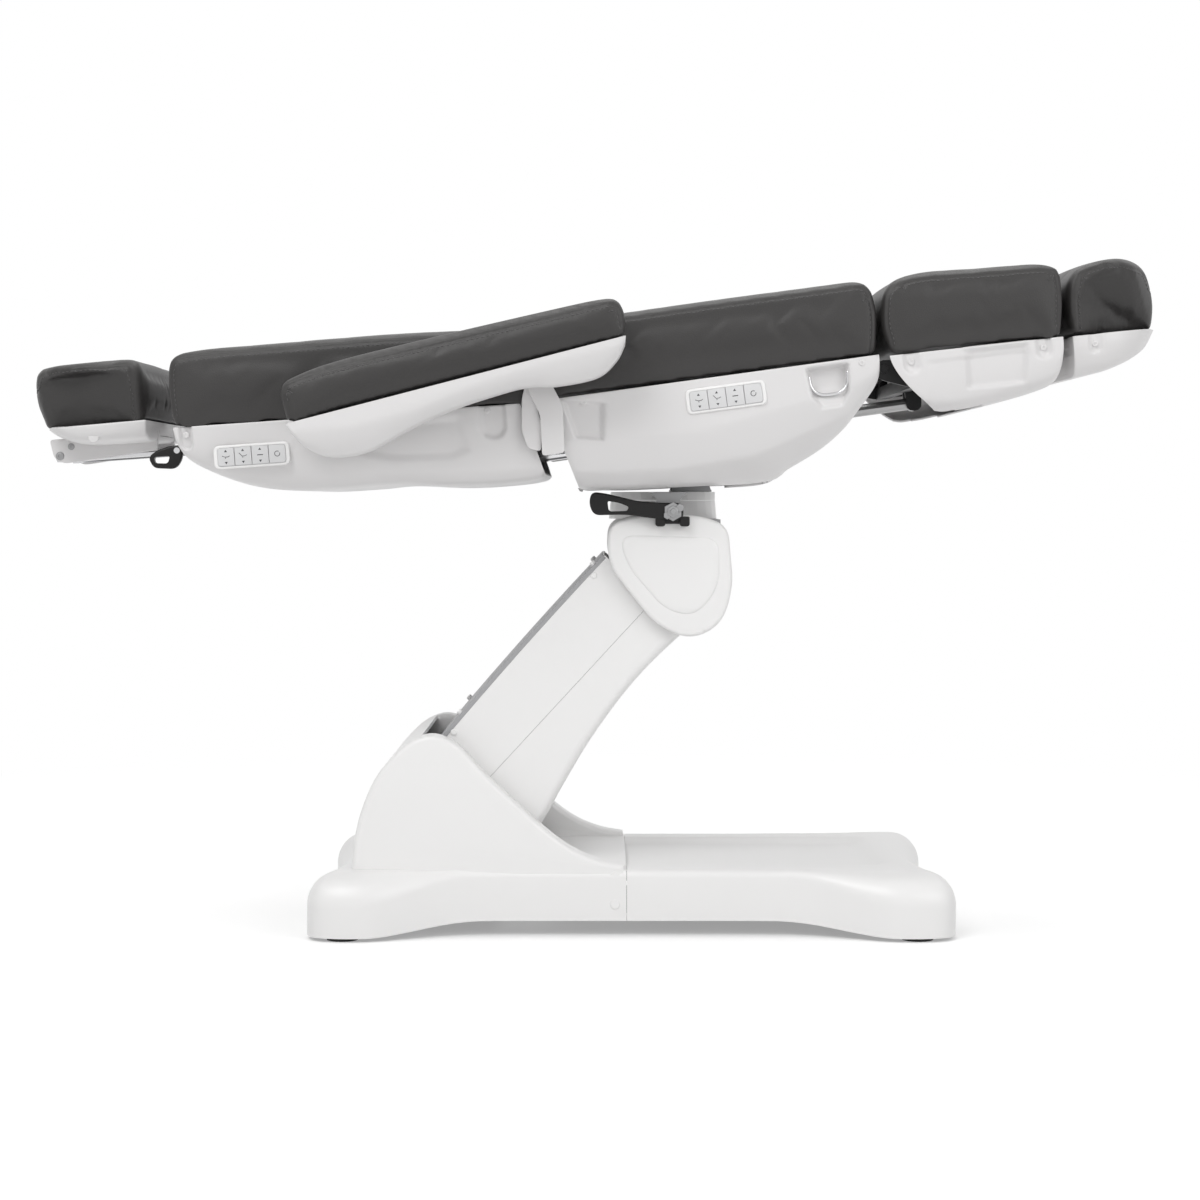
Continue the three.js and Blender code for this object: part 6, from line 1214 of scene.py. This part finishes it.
def stuffed(piece, slope, half, centre, crown, voxel):
    """The pad remeshed evenly, crowned, eased and blown up a little as cloth.

    The crown lifts the top by its height times one less the square of y over the half width, and the sides
    draw in along the pad. As cloth under pressure no point moves further than the limit.
    """
    remesh = piece.modifiers.new("even", "REMESH")
    remesh.mode = "VOXEL"
    remesh.voxel_size = voxel * MM
    ease = piece.modifiers.new("ease", "SMOOTH")
    ease.factor = 0.5
    ease.iterations = 3
    settled(piece)
    points = local_points(piece, slope)
    low, high = points.min(axis=0), points.max(axis=0)
    across = (points[:, 1] - centre) / half
    up = step(points[:, 2], low[2] + 0.4 * (high[2] - low[2]), high[2])
    along = np.sin(math.pi * (points[:, 0] - low[0]) / (high[0] - low[0]))
    points[:, 2] += crown * (1 - across**2) * up * np.clip(along, 0, 1) ** 0.4
    points[:, 1] -= SIDE_DRAW * along * across
    start = placed(points, slope)
    move_vertices(piece, start)
    cloth = piece.modifiers.new("cloth", "CLOTH")
    for setting, value in CLOTH.items():
        setattr(cloth.settings, setting, value)
    cloth.settings.effector_weights.gravity = 0
    cloth.collision_settings.use_collision = False
    scene = bpy.context.scene
    for moment in range(1, CLOTH_STEPS + 1):
        scene.frame_set(moment)
    settled(piece)
    travel = vertex_array(piece, "co") - start
    scene.frame_set(1)
    far = np.linalg.norm(travel, axis=1, keepdims=True)
    limit = PUFF_LIMIT * MM
    move_vertices(piece, start + travel * (limit * np.tanh(far / limit) / np.maximum(far, 1e-9)))
    finer = piece.modifiers.new("finer", "SUBSURF")
    finer.levels = finer.render_levels = 1
    return settled(piece)


def path_run(line):
    """How far along a path each of its points lies."""
    return np.concatenate([[0], np.cumsum(np.linalg.norm(np.diff(line, axis=0), axis=1))])


def point_at(line, run, at):
    """Points at given distances along a path, on the straight lines between its own."""
    return np.stack([np.interp(at, run, line[:, k]) for k in range(line.shape[1])], axis=-1)


def even_line(line, spacing=3):
    """A path of points spaced evenly."""
    run = path_run(line)
    return point_at(line, run, np.linspace(0, run[-1], max(2, int(run[-1] / spacing))))


def opened(ring):
    """A closed path of points turned to start after its widest gap."""
    gaps = np.linalg.norm(np.diff(np.vstack([ring, ring[:1]]), axis=0), axis=1)
    return np.roll(ring, -int(np.argmax(gaps)) - 1, axis=0)


def seam_lines(name, half, centre, side, inset):
    """The seams between a pad's side panels and the panel over its ends and top, as lines beside its surface.

    A straight pad has one on each side: its side outline drawn in, without the stretch along the bottom. A
    pad with a round end has a single one: up by the straight end, along the top edge and round the plan.
    """
    path = inset_path(corner_path(side, 10), inset)
    low = min(corner[1] for corner in side)
    if name not in ROUND_PLANS:
        path = np.roll(path, -int(np.argmin(path[:, 0] + path[:, 1] * 2)), axis=0)
        path = opened(path[path[:, 1] > low + inset + 1.5])
        down = [0, inset - 1]
        flat = even_line(np.array([path[0] - down, *path, path[-1] - down]))
        x, z = flat.T
        return [np.column_stack([x, np.full(len(x), centre + sign * half), z]) for sign, _ in BOTH_SIDES]
    (x0, x1, wide), head, foot = ROUND_PLANS[name]
    plan = rounded_rectangle(x0, x1, wide, head, foot)
    upper = path[path[:, 1] > low + 60]
    upper = upper[np.argsort(upper[:, 0])]
    height = np.interp(plan[:, 0], upper[:, 0], upper[:, 1])
    post = SEAM_POSTS[name]
    toward = math.copysign(1, post)
    ring = opened(np.column_stack([plan, height])[toward * plan[:, 0] > toward * post])
    up_to = lambda end: [(post - 4 * toward, end[1], z) for z in np.linspace(low + 4, end[2] - 22, 12)]
    return [even_line(np.array([*up_to(ring[0]), *ring, *up_to(ring[-1])[::-1]]))]


def on_surface(piece, slope, line, lift):
    """A line laid on the piece's surface and lifted off it a little, in millimetres of the scene's frame."""
    tree = BVHTree.FromObject(piece, bpy.context.evaluated_depsgraph_get())
    laid = []
    for point in placed(line, slope):
        place, normal, _, _ = tree.find_nearest(Vector(point))
        laid.append([*(place + normal * lift * MM)])
    return np.array(laid) / MM


def sewn(piece, slope, lines, base, depth=1.7, width=2.6):
    """Seams drawn into a stuffed pad: a groove along each line, fading as a bell curve off it."""
    seams = np.concatenate([on_surface(piece, slope, line, 0) for line in lines])
    points, normals = vertex_array(piece, "co") / MM, vertex_array(piece, "normal")
    tree = KDTree(len(seams))
    for i, spot in enumerate(seams):
        tree.insert(spot, i)
    tree.balance()
    away = np.array([tree.find(point)[2] for point in points])
    move_vertices(piece, (points - normals * (depth * np.exp(-((away / width) ** 2)))[:, None]) * MM)
    points = local_points(piece, slope)
    points[:, 2] = np.maximum(points[:, 2], base)
    move_vertices(piece, placed(points, slope))


THREAD_SIDES = 6
THREAD_ASKEW = (0.31, 0.2, 0.93)  # a direction that no stitch runs along
THREAD_STATIONS, THREAD_SWELL = np.array([0, 0.08, 0.5, 0.92, 1]), np.array([0.15, 0.8, 1, 0.8, 0.15])


def stitches(name, piece, slope, line, length=4.4, gap=3.4, thick=0.6):
    """A row of short threads laid on the pad along a line, each a small capsule."""
    lifted = on_surface(piece, slope, line, 0.25)
    run = path_run(lifted)
    starts = np.arange(0, run[-1] - length, length + gap)
    unit = lambda v: v / np.maximum(np.linalg.norm(v, axis=1, keepdims=True), 1e-9)
    spots = point_at(lifted, run, starts[:, None] + THREAD_STATIONS * length)
    along = unit(spots[:, -1] - spots[:, 0])
    across = unit(np.cross(along, THREAD_ASKEW))
    third = np.cross(along, across)
    ring = np.linspace(0, 2 * math.pi, THREAD_SIDES, endpoint=False)
    cos, sin = np.cos(ring)[None, None, :, None], np.sin(ring)[None, None, :, None]
    circle = across[:, None, None] * cos + third[:, None, None] * sin
    points = spots[:, :, None] + circle * (thick * THREAD_SWELL)[None, :, None, None]
    stations = len(THREAD_STATIONS)
    last = (stations - 1) * THREAD_SIDES
    one = grid_faces(stations, THREAD_SIDES, wrap_columns=True).tolist()
    one += [list(range(THREAD_SIDES))[::-1], [last + i for i in range(THREAD_SIDES)]]
    points_each = stations * THREAD_SIDES
    faces = [[i * points_each + corner for corner in face] for i in range(len(starts)) for face in one]
    return mesh_piece(name, points.reshape(-1, 3), faces)


def cushions():
    """Every pad with its seams and its stitching. A slim one has a lower crown and finer cloth."""
    for name, (slope, half, centre, side) in CUSHIONS.items():
        slim = half < SLIM
        pad = cushion_form(name, slope, half, centre, side, PUFF_DRAW)
        pad = stuffed(pad, slope, half, centre, *(SLIM_CROWN_AND_VOXEL if slim else CROWN_AND_VOXEL))
        foot = min(corner[1] for corner in side)
        sewn(pad, slope, seam_lines(name, half, centre, side, SEAM_INSET), foot)
        body = PAD_BODIES.get(name, name)
        finished(smoothed(pad), VINYL, body, "vinyl", f"{name}_cushion")
        lines = seam_lines(name, half, centre, side, STITCH_INSET)
        rows = [stitches("row", pad, slope, line) for line in lines]
        finished(fused(f"{name}_pad_stitching", rows), THREAD, body, "vinyl")


# Stage, in metres

FLOOR_HALF, FLOOR_GLOW = 12.0, 0.32
FADE_START, FADE_END = 1.2, 2.6
ROOM_LIGHT = 0.5
LAMPS = (  # [name, place, aim, width, watts]
    ("key", (-1.6, -3.0, 3.6), (0, 0, 0.6), 2.6, 78),
    ("fill", (2.6, -3.2, 2.2), (0.1, 0, 0.6), 2.4, 36),
    ("top", (0.2, 0.4, 4.2), (0, 0, 0.6), 3.0, 60),
)
CAMERA_PLACE, CAMERA_PITCH, CAMERA_LENS = (0, -4.1, 0.7025), 90 - 2.3613, 72.75


def floor_material():
    """A pale floor, a little brighter to the camera, that gives way to plain white away from the table."""
    material = bpy.data.materials.new("pale_floor")
    material.use_nodes = True
    tree = material.node_tree
    shader = tree.nodes["Principled BSDF"]
    shader.inputs["Base Color"].default_value = (0.8, 0.8, 0.8, 1)
    shader.inputs["Roughness"].default_value = 0.6
    rays = add_node(tree, "LightPath").outputs
    seen = worked_out(tree, "MAXIMUM", rays["Is Camera Ray"], rays["Is Glossy Ray"])
    glow = add_node(tree, "Emission", {"Strength": worked_out(tree, "MULTIPLY", seen, FLOOR_GLOW)})
    lit = add_node(tree, "AddShader", {0: shader.outputs[0], 1: glow.outputs[0]})
    place = add_node(tree, "TexCoord").outputs["Object"]
    reach = add_node(tree, "VectorMath", {0: place}, operation="LENGTH").outputs["Value"]
    fade = add_node(tree, "MapRange", {"Value": reach, "From Min": FADE_START, "From Max": FADE_END})
    far = worked_out(tree, "MULTIPLY", fade.outputs["Result"], seen)
    plain = add_node(tree, "Emission")
    blend = add_node(tree, "MixShader", {0: far, 1: lit.outputs[0], 2: plain.outputs[0]})
    tree.links.new(blend.outputs[0], tree.nodes["Material Output"].inputs["Surface"])
    return material


def surround(scene):
    """A world that lights softly and looks white to the camera, in reflections and through glass."""
    world = scene.world or bpy.data.worlds.new("surround")
    scene.world = world
    world.use_nodes = True
    tree = world.node_tree
    tree.nodes.clear()
    rays = add_node(tree, "LightPath").outputs
    seen = worked_out(tree, "MAXIMUM", rays["Is Camera Ray"], rays["Is Glossy Ray"])
    seen = worked_out(tree, "MAXIMUM", seen, rays["Is Transmission Ray"])
    strength = add_node(tree, "MapRange", {"Value": seen, "To Min": ROOM_LIGHT, "To Max": 1.0})
    sky = add_node(tree, "Background", {"Strength": strength.outputs["Result"], "Color": (1, 1, 1, 1)})
    add_node(tree, "OutputWorld", {"Surface": sky.outputs[0]})


def stage():
    """A level floor, a white surround, soft lamps and the camera."""
    far = FLOOR_HALF / MM
    corners = [(-far, -far, 0), (far, -far, 0), (far, far, 0), (-far, far, 0)]
    floor = mesh_piece("floor", corners, [(0, 1, 2, 3)])
    floor.data.materials.append(floor_material())
    floor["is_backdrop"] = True

    scene = bpy.context.scene
    scene.view_settings.view_transform = "Standard"
    surround(scene)
    for name, place, aim, size, power in LAMPS:
        lamp = bpy.data.lights.new(name, "AREA")
        lamp.shape = "DISK"
        lamp.size = size
        lamp.energy = power
        holder = bpy.data.objects.new(name, lamp)
        scene.collection.objects.link(holder)
        holder.location = place
        holder.rotation_euler = (Vector(aim) - Vector(place)).to_track_quat("-Z", "Y").to_euler()

    view = bpy.data.cameras.new("view")
    view.lens, view.sensor_width = CAMERA_LENS, 36.0
    camera = bpy.data.objects.new("view", view)
    camera.location = CAMERA_PLACE
    camera.rotation_euler = (math.radians(CAMERA_PITCH), 0, 0)
    scene.collection.objects.link(camera)
    scene.camera = camera


stage()
dress_solids()
seat_shell()
back_shell()
head_shell()
leg_shell()
foot_shell()
armrest_shells()
key_pads()
strap_rings()
base_covers()
arm_covers()
arm_head_covers()
levers()
hinge_covers()
cushions()

corners = lambda box: [[float(v) for v in corner] for corner in box]
{"cad": corners(cad_box), "visual": corners(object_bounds())}
